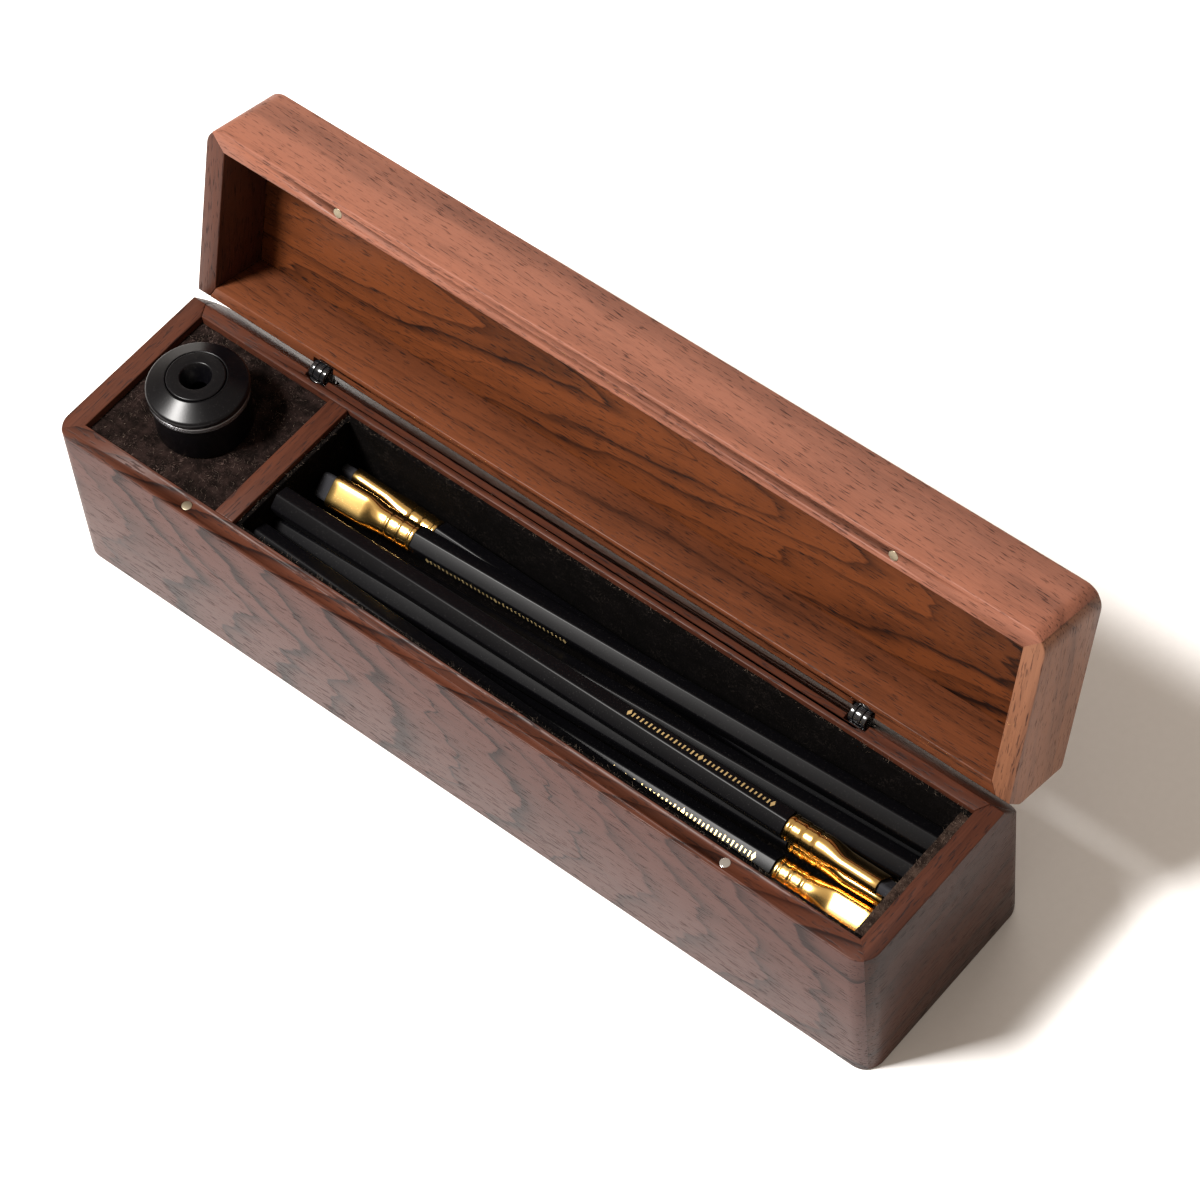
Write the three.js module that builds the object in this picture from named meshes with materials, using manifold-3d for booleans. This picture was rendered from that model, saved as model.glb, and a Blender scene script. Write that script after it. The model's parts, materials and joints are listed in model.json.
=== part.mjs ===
// A long walnut pencil box with a hinged lid, standing open, with its fitted sharpener and pencils.
//
// Millimetres. +X runs along the box from the sharpener's end, +Y is the back where the lid hinges,
// +Z is up, and the origin is the middle of the base's underside. The lid is modelled shut, over the
// base, and is then turned about the hinge axis to the angle at which it stands open.

import * as THREE from 'three';
import { mergeVertices } from 'three/addons/utils/BufferGeometryUtils.js';
import Module from 'manifold-3d';

const wasm = await Module();
wasm.setup();

// ---- Box ---------------------------------------------------------------------------------------
const LENGTH = 276;
const DEPTH = 65.5;
const BASE_HEIGHT = 54.6;
const LID_HEIGHT = 24.6;
const WALL = 6.3;
const BACK_WALL = 12.8; // thick enough to house the barrel hinges
const PANEL = 6.0; // bottom panel and lid panel
const RABBET = 3.1; // how far a panel's edge reaches under the walls
const CORNER_RADIUS = 6.0;
const CORNER_STEPS = 5;
const GLUE_GAP = 0.1; // between glued pieces that meet squarely
const MITRE_GAP = 0.2; // between the mitred ends of the walls
const RUN_GAP = 0.3; // between pieces that move, or that sit in a turned group
const OVERCUT = 1.0; // how far a cutter reaches past the face that it opens

// ---- Lid joint ---------------------------------------------------------------------------------
const LID_GAP = 0.3; // between the two rims when the lid is shut
const OPEN_ANGLE = THREE.MathUtils.degToRad(105.5);
const HINGE_Y = 25.3;
const HINGE_Z = BASE_HEIGHT + LID_GAP / 2;
const CHAMFER_START = 1.45; // how far in front of the hinge axis the back bevel starts
const CHAMFER_ANGLE = OPEN_ANGLE / 2;

// ---- Compartments ------------------------------------------------------------------------------
const DIVIDER_X = -81.2;
const DIVIDER = 6.3;
const FELT = 1.5;
const FELT_FLOOR = 3.0;
const FELT_END = 3.2;
const FELT_DROP = 1.5; // the liners stop this far below the rim
const PAD_TOP = 52.3;
const PENCIL_FLOOR = 24.0;

// ---- Hinges and magnets ------------------------------------------------------------------------
const HINGE_X = 92.0;
const BARREL_RADIUS = 3.5;
const BASE_BARREL_LENGTH = 17;
const LID_BARREL_LENGTH = 13;
const KNUCKLE_RADIUS = 2.6;
const TONGUE = 2.0;
const EAR = 1.3;
const HINGE_PIN_RADIUS = 0.9;
const NECK = 2.0; // half the width of the neck that carries a knuckle
const NECK_NEAR = 1.56; // from the hinge axis to the neck's two ends
const NECK_FAR = 4.42;
const MAGNET_X = 91.5;
const MAGNET_RADIUS = 1.5;
const MAGNET_DEPTH = 3.0;
const MAGNET_SUNK = 0.05; // below the rim

// ---- Sharpener ---------------------------------------------------------------------------------
const SHARPENER_X = -108.2;
const SHARPENER_Y = -4.4;
const CUP_RADIUS = 13.4;
const CUP_HEIGHT = 11.8;
const CUP_WALL = 1.3;
const CUP_FLOOR = 1.5;
const CUP_EDGE = 0.8;
const COLLAR_RADIUS = 14.0;
const COLLAR_TOP = 13.8;
const COLLAR_EDGE = 0.4;
const HEAD_RADIUS = 14.2;
const HEAD_TOP = 19.2;
const HEAD_EDGE = 0.5;
const HEAD_RIM = 1.4; // the upright part of the cap's rim, above its lower edge
const SKIRT_BOTTOM = 7; // the cap's skirt reaches down into the cup
const CORE_RADIUS = 8.2;
const CORE_DEPTH = 6.0;
const CORE_MOUTH = 4.3;
const CORE_THROAT = 2.6;
const CORE_EDGE = 0.3;
const BLADE = [1.2, 7, 5.5]; // thickness, width and height
const BLADE_INSET = 0.9; // from the core's mouth, and above the core's underside
const ROUND = 36;

// ---- Pencils -----------------------------------------------------------------------------------
const PENCIL_LENGTH = 203;
const FLATS = 7.4; // across the flats of the hexagon
const EDGE_ROUNDING = 0.5;
const FERRULE_LENGTH = 29;
const ERASER_PROUD = 4.5;
const ERASER_IN = 9;
const TENON = 7;
const TENON_RADIUS = 3.3;
const BAND_RADIUS = 3.95;
const BAND_LENGTH = 11; // the round part of the ferrule, next to the wood
const PRESS_LENGTH = 7; // over which the round becomes flat
const FLAT_SQUARENESS = 0.45; // power that squares the oval; 1 leaves it round
const FLAT_WIDTH = 9.2;
const FLAT_THICKNESS = 4.6;
const ERASER_WIDTH = 7.4;
const ERASER_THICKNESS = 3.0;

// left and right are where the axis meets the two ends of the tray, as [y, z]. side is the end that
// the ferrule lies at, roll turns the hexagon from corner up, and flatRoll turns the ferrule's flat
// from lying level, both in degrees about the axis.
const LEFT_STOP = -76.2;
const RIGHT_STOP = 128.2;
const PENCILS = [
  { name: 'pencil_1', side: -1, left: [12.6, 36.5], right: [12.5, 30.2], roll: 8, flatRoll: 90 },
  { name: 'pencil_2', side: -1, left: [3.4, 41.8], right: [12.7, 42.2], roll: 8, flatRoll: 36 },
  { name: 'pencil_3', side: -1, left: [-5.0, 35.0], right: [5.0, 37.6], roll: 8, flatRoll: 90 },
  { name: 'pencil_4', side: 1, left: [-10.9, 49.5], right: [-6.2, 44.2], roll: 15, flatRoll: -45 },
  { name: 'pencil_5', side: 1, left: [-13.3, 40.0], right: [-3.4, 35.9], roll: 8, flatRoll: -10 },
  { name: 'pencil_6', side: 1, left: [-20.9, 44.3], right: [-20.9, 32.9], roll: 8, flatRoll: 90 },
  { name: 'pencil_7', side: 1, left: [-16.2, 28.2], right: [-12.2, 32.4], roll: 0, flatRoll: 29 },
];
const PENCIL_SPARE = (RIGHT_STOP - LEFT_STOP - PENCIL_LENGTH) / 2;

const HALF_LENGTH = LENGTH / 2;
const HALF_DEPTH = DEPTH / 2;
const INNER_X = HALF_LENGTH - WALL;
const INNER_FRONT = -HALF_DEPTH + WALL;
const INNER_BACK = HALF_DEPTH - BACK_WALL;
const LID_RIM = BASE_HEIGHT + LID_GAP;
const LID_TOP = LID_RIM + LID_HEIGHT;
const DIVIDER_LEFT = DIVIDER_X - DIVIDER / 2;
const DIVIDER_RIGHT = DIVIDER_X + DIVIDER / 2;
const FELT_TOP = BASE_HEIGHT - FELT_DROP;
const FLATS_RADIUS = FLATS / Math.sqrt(3); // from the axis to a corner of the hexagon

// ---- Materials ---------------------------------------------------------------------------------
function finish(color, roughness, metalness) {
  return new THREE.MeshStandardMaterial({ color, roughness, metalness });
}

const walnut = finish(0x6f4430, 0.55, 0);
const felt = finish(0x2e2825, 1.0, 0);
const blackSteel = finish(0x101010, 0.2, 1);
const nickel = finish(0xb9bab8, 0.3, 1);
const anodised = finish(0x17171a, 0.45, 0.6);
const bladeSteel = finish(0xc8c8c8, 0.25, 1);
const blackPaint = finish(0x141416, 0.5, 0);
const gold = finish(0xd9a53a, 0.2, 1);
const greyRubber = finish(0x3a3b3e, 0.8, 0);

// ---- Solids ------------------------------------------------------------------------------------
function toSolid(geometry) {
  const bare = geometry.clone();
  bare.deleteAttribute('normal');
  bare.deleteAttribute('uv');
  const merged = mergeVertices(bare, 1e-5);
  return new wasm.Manifold(new wasm.Mesh({
    numProp: 3,
    vertProperties: new Float32Array(merged.attributes.position.array),
    triVerts: new Uint32Array(merged.index.array),
  }));
}

function toGeometry(solid) {
  const mesh = solid.getMesh();
  const geometry = new THREE.BufferGeometry();
  geometry.setAttribute('position', new THREE.BufferAttribute(new Float32Array(mesh.vertProperties), 3));
  geometry.setIndex(new THREE.BufferAttribute(new Uint32Array(mesh.triVerts), 1));
  geometry.computeVertexNormals();
  return geometry;
}

function block(x, y, z) {
  const size = [x, y, z].map(([low, high]) => high - low);
  const middle = [x, y, z].map(([low, high]) => (high + low) / 2);
  return new THREE.BoxGeometry(...size).translate(...middle);
}

// A prism that stands on z[0]; the outline lies in the XY plane.
function upright(shape, z) {
  const settings = { depth: z[1] - z[0], bevelEnabled: false, curveSegments: CORNER_STEPS };
  return new THREE.ExtrudeGeometry(shape, settings).translate(0, 0, z[0]);
}

// A prism that lies along X; the outline's own x and y are the box's Y and Z.
function lying(shape, x) {
  const geometry = new THREE.ExtrudeGeometry(shape, { depth: x[1] - x[0], bevelEnabled: false });
  const toRow = new THREE.Matrix4().makeBasis(
    new THREE.Vector3(0, 1, 0),
    new THREE.Vector3(0, 0, 1),
    new THREE.Vector3(1, 0, 0),
  );
  return geometry.applyMatrix4(toRow).translate(x[0], 0, 0);
}

function disc(radius, z, x, y, segments = 24) {
  const cylinder = new THREE.CylinderGeometry(radius, radius, z[1] - z[0], segments);
  return cylinder.rotateX(Math.PI / 2).translate(x, y, (z[0] + z[1]) / 2);
}

// A short cylinder on the hinge axis.
function knuckle(radius, x) {
  const cylinder = new THREE.CylinderGeometry(radius, radius, x[1] - x[0], 24);
  return cylinder.rotateZ(Math.PI / 2).translate((x[0] + x[1]) / 2, HINGE_Y, HINGE_Z);
}

function cut(geometry, cutters) {
  const solid = cutters.reduce((left, cutter) => left.subtract(toSolid(cutter)), toSolid(geometry));
  return toGeometry(solid);
}

function join(pieces) {
  const solid = pieces.slice(1).reduce((sum, piece) => sum.add(toSolid(piece)), toSolid(pieces[0]));
  return toGeometry(solid);
}

const box = new THREE.Group();

function add(name, geometry, material, parent = box) {
  const mesh = new THREE.Mesh(geometry, material);
  mesh.name = name;
  parent.add(mesh);
  return mesh;
}

// ---- Mitred walls ------------------------------------------------------------------------------
function roundedOutline() {
  const shape = new THREE.Shape();
  const x = HALF_LENGTH - CORNER_RADIUS;
  const y = HALF_DEPTH - CORNER_RADIUS;
  const quarter = Math.PI / 2;
  shape.absarc(x, y, CORNER_RADIUS, 0, quarter);
  shape.absarc(-x, y, CORNER_RADIUS, quarter, 2 * quarter);
  shape.absarc(-x, -y, CORNER_RADIUS, 2 * quarter, 3 * quarter);
  shape.absarc(x, -y, CORNER_RADIUS, 3 * quarter, 4 * quarter);
  return shape;
}

// The sector of the plan that one wall takes up, bounded by its two mitre lines.
function mitreSector(side) {
  const reach = 0.3;
  const corner = (sx, sy) => {
    const outer = new THREE.Vector2(sx * HALF_LENGTH, sy * HALF_DEPTH);
    const inner = new THREE.Vector2(sx * INNER_X, sy < 0 ? INNER_FRONT : INNER_BACK);
    return {
      outer: outer.clone().lerp(inner, -reach),
      inner: inner.clone().lerp(outer, -reach),
    };
  };
  const ends = {
    front: [corner(-1, -1), corner(1, -1)],
    back: [corner(1, 1), corner(-1, 1)],
    left: [corner(-1, 1), corner(-1, -1)],
    right: [corner(1, -1), corner(1, 1)],
  }[side];
  const points = [ends[0].outer, ends[1].outer, ends[1].inner, ends[0].inner];
  const isLong = side === 'front' || side === 'back';
  const shift = isLong ? MITRE_GAP : 0;
  return new THREE.Shape(points.map((p) => new THREE.Vector2(p.x - Math.sign(p.x) * shift, p.y)));
}

function wallBlank(side, z) {
  const ring = toSolid(upright(roundedOutline(), z)).subtract(
    toSolid(block([-INNER_X, INNER_X], [INNER_FRONT, INNER_BACK], [z[0] - OVERCUT, z[1] + OVERCUT])),
  );
  return toGeometry(ring.intersect(toSolid(upright(mitreSector(side), z))));
}

function panelBlock(z, clearance) {
  const grow = RABBET + clearance;
  return block(
    [-INNER_X - grow, INNER_X + grow],
    [INNER_FRONT - grow, INNER_BACK + grow],
    z,
  );
}

// The bevel along the back edge, for the base (direction -1) or the lid (direction 1).
function backBevel(direction) {
  const start = HINGE_Y - CHAMFER_START;
  const run = HALF_DEPTH + OVERCUT - start;
  const rim = direction < 0 ? BASE_HEIGHT : LID_RIM;
  const points = [
    [start - 0.5 * OVERCUT, rim - direction * 0.5 * OVERCUT * Math.tan(CHAMFER_ANGLE)],
    [start + run, rim - direction * OVERCUT * 2],
    [start + run, rim + direction * run * Math.tan(CHAMFER_ANGLE)],
  ];
  const ordered = direction < 0 ? points.reverse() : points;
  return lying(new THREE.Shape(ordered.map(([y, z]) => new THREE.Vector2(y, z))), [-LENGTH, LENGTH]);
}

function hingeMortises(direction) {
  return [-HINGE_X, HINGE_X].flatMap((x) => [
    disc(BARREL_RADIUS + RUN_GAP, barrelSpan(direction, RUN_GAP), x, HINGE_Y),
    knuckle(KNUCKLE_RADIUS + 2 * RUN_GAP, [x - BARREL_RADIUS, x + BARREL_RADIUS]),
  ]);
}

function barrelSpan(direction, extra = 0) {
  if (direction < 0) return [HINGE_Z - BASE_BARREL_LENGTH - extra, HINGE_Z - LID_GAP + 2 * extra];
  return [HINGE_Z + LID_GAP - 2 * extra, HINGE_Z + LID_BARREL_LENGTH + extra];
}

function magnetSpan(direction) {
  if (direction < 0) return [BASE_HEIGHT - MAGNET_DEPTH, BASE_HEIGHT - MAGNET_SUNK];
  return [LID_RIM + MAGNET_SUNK, LID_RIM + MAGNET_DEPTH];
}

function magnetHoles(direction) {
  const [low, high] = magnetSpan(direction);
  const span = [low - (direction < 0 ? GLUE_GAP : OVERCUT), high + (direction < 0 ? OVERCUT : GLUE_GAP)];
  const y = -HALF_DEPTH + WALL / 2;
  return [-MAGNET_X, MAGNET_X].map((x) => disc(MAGNET_RADIUS + GLUE_GAP, span, x, y));
}

function addTray(prefix, ends, z, panelZ, direction, parent) {
  const rabbet = panelBlock([panelZ[0] - (direction < 0 ? OVERCUT : GLUE_GAP),
    panelZ[1] + (direction < 0 ? GLUE_GAP : OVERCUT)], GLUE_GAP);
  const bevel = backBevel(direction);
  const cutters = {
    front: [rabbet, ...magnetHoles(direction)],
    back: [rabbet, bevel, ...hingeMortises(direction)],
    left: [rabbet, bevel],
    right: [rabbet, bevel],
  };
  for (const side of ['front', 'back', 'left', 'right']) {
    add(`${prefix}_${ends[side]}`, cut(wallBlank(side, z), cutters[side]), walnut, parent);
  }
}

const lid = new THREE.Group();
lid.position.set(0, HINGE_Y, HINGE_Z);
lid.rotation.x = -OPEN_ANGLE;
box.add(lid);

// Pieces of the lid are built in place over the base, then hung on the turned group.
const lidFrame = new THREE.Group();
lidFrame.position.set(0, -HINGE_Y, -HINGE_Z);
lid.add(lidFrame);

const wallNames = { front: 'front_wall', back: 'back_wall', left: 'left_end', right: 'right_end' };
addTray('base', wallNames, [0, BASE_HEIGHT], [0, PANEL], -1, box);
addTray('lid', wallNames, [LID_RIM, LID_TOP], [LID_TOP - PANEL, LID_TOP], 1, lidFrame);
add('base_bottom_panel', panelBlock([0, PANEL], 0), walnut);
add('lid_top_panel', panelBlock([LID_TOP - PANEL, LID_TOP], 0), walnut, lidFrame);

for (const [side, x] of [['left', -MAGNET_X], ['right', MAGNET_X]]) {
  const y = -HALF_DEPTH + WALL / 2;
  add(`base_magnet_${side}`, disc(MAGNET_RADIUS, magnetSpan(-1), x, y), nickel);
  add(`lid_magnet_${side}`, disc(MAGNET_RADIUS, magnetSpan(1), x, y), nickel, lidFrame);
}

// ---- Divider, plinths and felt -----------------------------------------------------------------
const between = [INNER_FRONT + GLUE_GAP, INNER_BACK - GLUE_GAP];
const leftSpan = [-INNER_X + GLUE_GAP, DIVIDER_LEFT - GLUE_GAP];
const rightSpan = [DIVIDER_RIGHT + GLUE_GAP, INNER_X - GLUE_GAP];
const onPanel = PANEL + GLUE_GAP;
const padBottom = PAD_TOP - FELT_FLOOR;
const floorBottom = PENCIL_FLOOR - FELT_FLOOR;
const linerZ = [PENCIL_FLOOR + GLUE_GAP, FELT_TOP];
const linerFront = [INNER_FRONT + GLUE_GAP, INNER_FRONT + FELT];
const linerBack = [INNER_BACK - FELT, INNER_BACK - GLUE_GAP];
const acrossLiners = [linerFront[1] + GLUE_GAP, linerBack[0] - GLUE_GAP];

add('compartment_divider', block([DIVIDER_LEFT, DIVIDER_RIGHT], between, [onPanel, BASE_HEIGHT]), walnut);
add('sharpener_plinth', block(leftSpan, between, [onPanel, padBottom - GLUE_GAP]), walnut);
add('pencil_plinth', block(rightSpan, between, [onPanel, floorBottom - GLUE_GAP]), walnut);
add('felt_sharpener_pad', block(leftSpan, between, [padBottom, PAD_TOP]), felt);
add('felt_pencil_floor', block(rightSpan, between, [floorBottom, PENCIL_FLOOR]), felt);
add('felt_front_liner', block(rightSpan, linerFront, linerZ), felt);
add('felt_back_liner', block(rightSpan, linerBack, linerZ), felt);
add('felt_left_liner', block([rightSpan[0], DIVIDER_RIGHT + FELT], acrossLiners, linerZ), felt);
add('felt_right_liner', block([INNER_X - FELT_END, rightSpan[1]], acrossLiners, linerZ), felt);

// ---- Barrel hinges -----------------------------------------------------------------------------
function neckBlock(x, z) {
  return block(x, [HINGE_Y - NECK, HINGE_Y + NECK], z);
}

function barrelBody(direction, x) {
  const reach = EAR + TONGUE / 2 + 2 * RUN_GAP;
  return cut(disc(BARREL_RADIUS, barrelSpan(direction), x, HINGE_Y), [
    backBevel(direction),
    knuckle(KNUCKLE_RADIUS + RUN_GAP, [x - reach, x + reach]),
  ]);
}

for (const [side, x] of [['left', -HINGE_X], ['right', HINGE_X]]) {
  const earInner = TONGUE / 2 + RUN_GAP;
  const pinHole = knuckle(HINGE_PIN_RADIUS + RUN_GAP, [x - LENGTH, x + LENGTH]);
  const ears = [-1, 1].flatMap((s) => {
    const span = s < 0 ? [x - earInner - EAR, x - earInner] : [x + earInner, x + earInner + EAR];
    return [
      knuckle(KNUCKLE_RADIUS, span),
      neckBlock(span, [HINGE_Z - NECK_FAR, HINGE_Z - NECK_NEAR]),
    ];
  });
  const tongueSpan = [x - TONGUE / 2, x + TONGUE / 2];
  const tongue = [
    knuckle(KNUCKLE_RADIUS, tongueSpan),
    neckBlock(tongueSpan, [HINGE_Z + NECK_NEAR, HINGE_Z + NECK_FAR]),
  ];
  const pinReach = earInner + EAR;
  const fork = cut(join([barrelBody(-1, x), ...ears]), [pinHole]);
  const eye = cut(join([barrelBody(1, x), ...tongue]), [pinHole]);
  add(`hinge_${side}_base_barrel`, fork, blackSteel);
  add(`hinge_${side}_lid_barrel`, eye, blackSteel, lidFrame);
  add(`hinge_${side}_pin`, knuckle(HINGE_PIN_RADIUS, [x - pinReach, x + pinReach]), blackSteel);
}

// ---- Sharpener ---------------------------------------------------------------------------------
function turned(profile) {
  const points = profile.map(([r, z]) => new THREE.Vector2(r, z));
  const lathe = new THREE.LatheGeometry(points, ROUND);
  return lathe.rotateX(Math.PI / 2).translate(SHARPENER_X, SHARPENER_Y, PAD_TOP);
}

const cupBore = CUP_RADIUS - CUP_WALL;
const skirt = cupBore - RUN_GAP;
const headBottom = COLLAR_TOP + RUN_GAP;
const coreBottom = HEAD_TOP - CORE_DEPTH;

add('sharpener_cup', turned([
  [0, 0], [CUP_RADIUS - CUP_EDGE, 0], [CUP_RADIUS, CUP_EDGE], [CUP_RADIUS, CUP_HEIGHT],
  [cupBore, CUP_HEIGHT], [cupBore, CUP_FLOOR], [0, CUP_FLOOR],
]), anodised);
add('sharpener_collar', turned([
  [skirt + RUN_GAP, CUP_HEIGHT + RUN_GAP], [COLLAR_RADIUS - COLLAR_EDGE, CUP_HEIGHT + RUN_GAP],
  [COLLAR_RADIUS, CUP_HEIGHT + RUN_GAP + COLLAR_EDGE], [COLLAR_RADIUS, COLLAR_TOP - COLLAR_EDGE],
  [COLLAR_RADIUS - COLLAR_EDGE, COLLAR_TOP], [skirt + RUN_GAP, COLLAR_TOP],
  [skirt + RUN_GAP, CUP_HEIGHT + RUN_GAP],
]), anodised);
add('sharpener_head', turned([
  [CORE_RADIUS + GLUE_GAP, SKIRT_BOTTOM], [skirt, SKIRT_BOTTOM], [skirt, headBottom],
  [HEAD_RADIUS - HEAD_EDGE, headBottom], [HEAD_RADIUS, headBottom + HEAD_EDGE],
  [HEAD_RADIUS, headBottom + HEAD_RIM],
  [HEAD_RADIUS - HEAD_EDGE, headBottom + HEAD_RIM + HEAD_EDGE],
  [CORE_RADIUS + HEAD_EDGE, HEAD_TOP - CORE_EDGE], [CORE_RADIUS + GLUE_GAP, HEAD_TOP - HEAD_EDGE],
  [CORE_RADIUS + GLUE_GAP, SKIRT_BOTTOM],
]), anodised);

const bladeAngle = Math.atan2(CORE_MOUTH - CORE_THROAT, CORE_DEPTH);

function bladeBlock(clearance) {
  const [thickness, width, height] = BLADE.map((side) => side + 2 * clearance);
  const blade = new THREE.BoxGeometry(thickness, width, height).rotateY(bladeAngle);
  const x = SHARPENER_X + CORE_MOUTH - BLADE_INSET;
  return blade.translate(x, SHARPENER_Y, PAD_TOP + coreBottom + BLADE_INSET);
}

const coreBlank = turned([
  [CORE_THROAT, coreBottom], [CORE_RADIUS, coreBottom], [CORE_RADIUS, HEAD_TOP - CORE_EDGE],
  [CORE_RADIUS - CORE_EDGE, HEAD_TOP], [CORE_MOUTH + CORE_EDGE, HEAD_TOP],
  [CORE_MOUTH, HEAD_TOP - CORE_EDGE],
  [CORE_THROAT, coreBottom],
]);
add('sharpener_core', cut(coreBlank, [bladeBlock(RUN_GAP)]), anodised);
add('sharpener_blade', bladeBlock(0), bladeSteel);

// ---- Pencils -----------------------------------------------------------------------------------
// Each pencil is built along +X from its bare end, then laid from `bare` to `head`.
function hexagon() {
  const shape = new THREE.Shape();
  const corner = (k, pull) => {
    const at = (n) => new THREE.Vector2(
      FLATS_RADIUS * Math.cos((n * Math.PI) / 3 + Math.PI / 2),
      FLATS_RADIUS * Math.sin((n * Math.PI) / 3 + Math.PI / 2),
    );
    return at(k).lerp(at(k + Math.sign(pull)), Math.abs(pull) / FLATS_RADIUS);
  };
  for (let k = 0; k < 6; k += 1) {
    const before = corner(k, -EDGE_ROUNDING);
    const after = corner(k, EDGE_ROUNDING);
    if (k === 0) shape.moveTo(before.x, before.y);
    else shape.lineTo(before.x, before.y);
    shape.lineTo(after.x, after.y);
  }
  return shape;
}

function rod(radius, x, segments = 20) {
  const cylinder = new THREE.CylinderGeometry(radius, radius, x[1] - x[0], segments);
  return cylinder.rotateZ(Math.PI / 2).translate((x[0] + x[1]) / 2, 0, 0);
}

const ferruleStart = PENCIL_LENGTH - ERASER_PROUD - FERRULE_LENGTH;
const ferruleEnd = PENCIL_LENGTH - ERASER_PROUD;
const bandEnd = ferruleStart + BAND_LENGTH;
const slotStart = ferruleEnd - ERASER_IN;

function barrel() {
  const shaft = lying(hexagon(), [0, ferruleStart - RUN_GAP]);
  return join([shaft, rod(TENON_RADIUS, [ferruleStart - OVERCUT, ferruleStart + TENON])]);
}

// The ferrule's section at a place along it: round at the wood, a flat oval at the eraser.
function ferruleSection(x) {
  const along = THREE.MathUtils.smoothstep(x, bandEnd, bandEnd + PRESS_LENGTH);
  return {
    width: THREE.MathUtils.lerp(BAND_RADIUS, FLAT_WIDTH / 2, along),
    thickness: THREE.MathUtils.lerp(BAND_RADIUS, FLAT_THICKNESS / 2, along),
    squareness: THREE.MathUtils.lerp(1, FLAT_SQUARENESS, along),
  };
}

function ferrule() {
  const sides = 16;
  const rings = 10;
  const tube = new THREE.CylinderGeometry(1, 1, FERRULE_LENGTH, sides, rings).rotateZ(Math.PI / 2);
  tube.translate((ferruleStart + ferruleEnd) / 2, 0, 0);
  const place = tube.attributes.position;
  for (let i = 0; i < place.count; i += 1) {
    const { width, thickness, squareness } = ferruleSection(place.getX(i));
    const [y, z] = [place.getY(i), place.getZ(i)];
    place.setY(i, width * Math.sign(y) * Math.abs(y) ** squareness);
    place.setZ(i, thickness * Math.sign(z) * Math.abs(z) ** squareness);
  }
  const bore = rod(TENON_RADIUS + RUN_GAP, [ferruleStart - OVERCUT, ferruleStart + TENON + RUN_GAP]);
  return cut(tube, [bore, eraserBlock(RUN_GAP, [slotStart - RUN_GAP, ferruleEnd + OVERCUT])]);
}

function eraserBlock(clearance, x) {
  const y = ERASER_WIDTH / 2 + clearance;
  const z = ERASER_THICKNESS / 2 + clearance;
  return block(x, [-y, y], [-z, z]);
}

// The pencil's own +X runs from its bare end to the end that carries the ferrule.
for (const { name, side, left, right, roll, flatRoll } of PENCILS) {
  const leftEnd = new THREE.Vector3(LEFT_STOP, ...left);
  const rightEnd = new THREE.Vector3(RIGHT_STOP, ...right);
  const [bare, head] = side > 0 ? [leftEnd, rightEnd] : [rightEnd, leftEnd];
  const along = head.clone().sub(bare).normalize();
  const across = new THREE.Vector3(0, 0, 1).cross(along).normalize();
  const upward = along.clone().cross(across);
  const pencil = new THREE.Group();
  pencil.quaternion.setFromRotationMatrix(new THREE.Matrix4().makeBasis(along, across, upward));
  pencil.position.copy(bare).addScaledVector(along, PENCIL_SPARE);
  box.add(pencil);
  add(`${name}_barrel`, barrel().rotateX(THREE.MathUtils.degToRad(roll * side)), blackPaint, pencil);
  const flatTurn = THREE.MathUtils.degToRad(flatRoll * side);
  add(`${name}_ferrule`, ferrule().rotateX(flatTurn), gold, pencil);
  const rubber = eraserBlock(0, [slotStart, PENCIL_LENGTH]).rotateX(flatTurn);
  add(`${name}_eraser`, rubber, greyRubber, pencil);
}

export default box;
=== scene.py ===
# %% [markdown]
# # A walnut pencil box with its sharpener and pencils
# The box is a mitred walnut tray with a hinged walnut lid, lined with dark felt. It holds a black
# long-point sharpener and seven matte black pencils with flat gold ferrules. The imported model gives
# every size and joint; this script gives each piece the shape of its edges and the look of its finish.

import json
import math
import random

import bmesh
import bpy
from mathutils import Matrix, Vector, noise

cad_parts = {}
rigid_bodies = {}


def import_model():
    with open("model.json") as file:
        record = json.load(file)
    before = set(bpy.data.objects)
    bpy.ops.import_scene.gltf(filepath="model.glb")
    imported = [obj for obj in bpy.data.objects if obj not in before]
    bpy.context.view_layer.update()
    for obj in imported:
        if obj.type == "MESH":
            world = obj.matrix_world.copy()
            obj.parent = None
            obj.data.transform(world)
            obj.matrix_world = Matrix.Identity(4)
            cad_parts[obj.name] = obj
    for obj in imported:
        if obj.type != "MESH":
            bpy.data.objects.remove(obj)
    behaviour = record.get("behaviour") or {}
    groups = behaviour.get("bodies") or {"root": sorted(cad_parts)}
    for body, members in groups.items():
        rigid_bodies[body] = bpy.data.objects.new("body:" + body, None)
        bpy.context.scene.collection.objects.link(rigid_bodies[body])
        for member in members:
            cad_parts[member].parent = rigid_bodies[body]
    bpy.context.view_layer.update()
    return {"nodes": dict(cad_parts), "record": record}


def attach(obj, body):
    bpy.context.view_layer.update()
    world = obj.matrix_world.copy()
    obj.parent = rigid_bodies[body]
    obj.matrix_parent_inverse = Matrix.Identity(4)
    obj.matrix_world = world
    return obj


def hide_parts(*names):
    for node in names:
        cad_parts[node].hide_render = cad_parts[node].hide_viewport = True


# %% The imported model
for leftover in list(bpy.data.objects):
    bpy.data.objects.remove(leftover)
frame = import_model()
nodes = frame["nodes"]
MM = 0.001
print("packed pieces:", len(nodes))

# %% [markdown]
# ## The camera
# The box is seen from high on its right front corner through a long lens, so its long edges hardly
# converge. The camera is set by the directions of its right and up, which keeps its slight roll.

# %% Camera
CAMERA_PLACE = Vector((0.49333, -0.46272, 1.01547))
CAMERA_RIGHT = Vector((0.76857, 0.63626, -0.06695))
CAMERA_UP = Vector((-0.49378, 0.65646, 0.57030))

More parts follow.
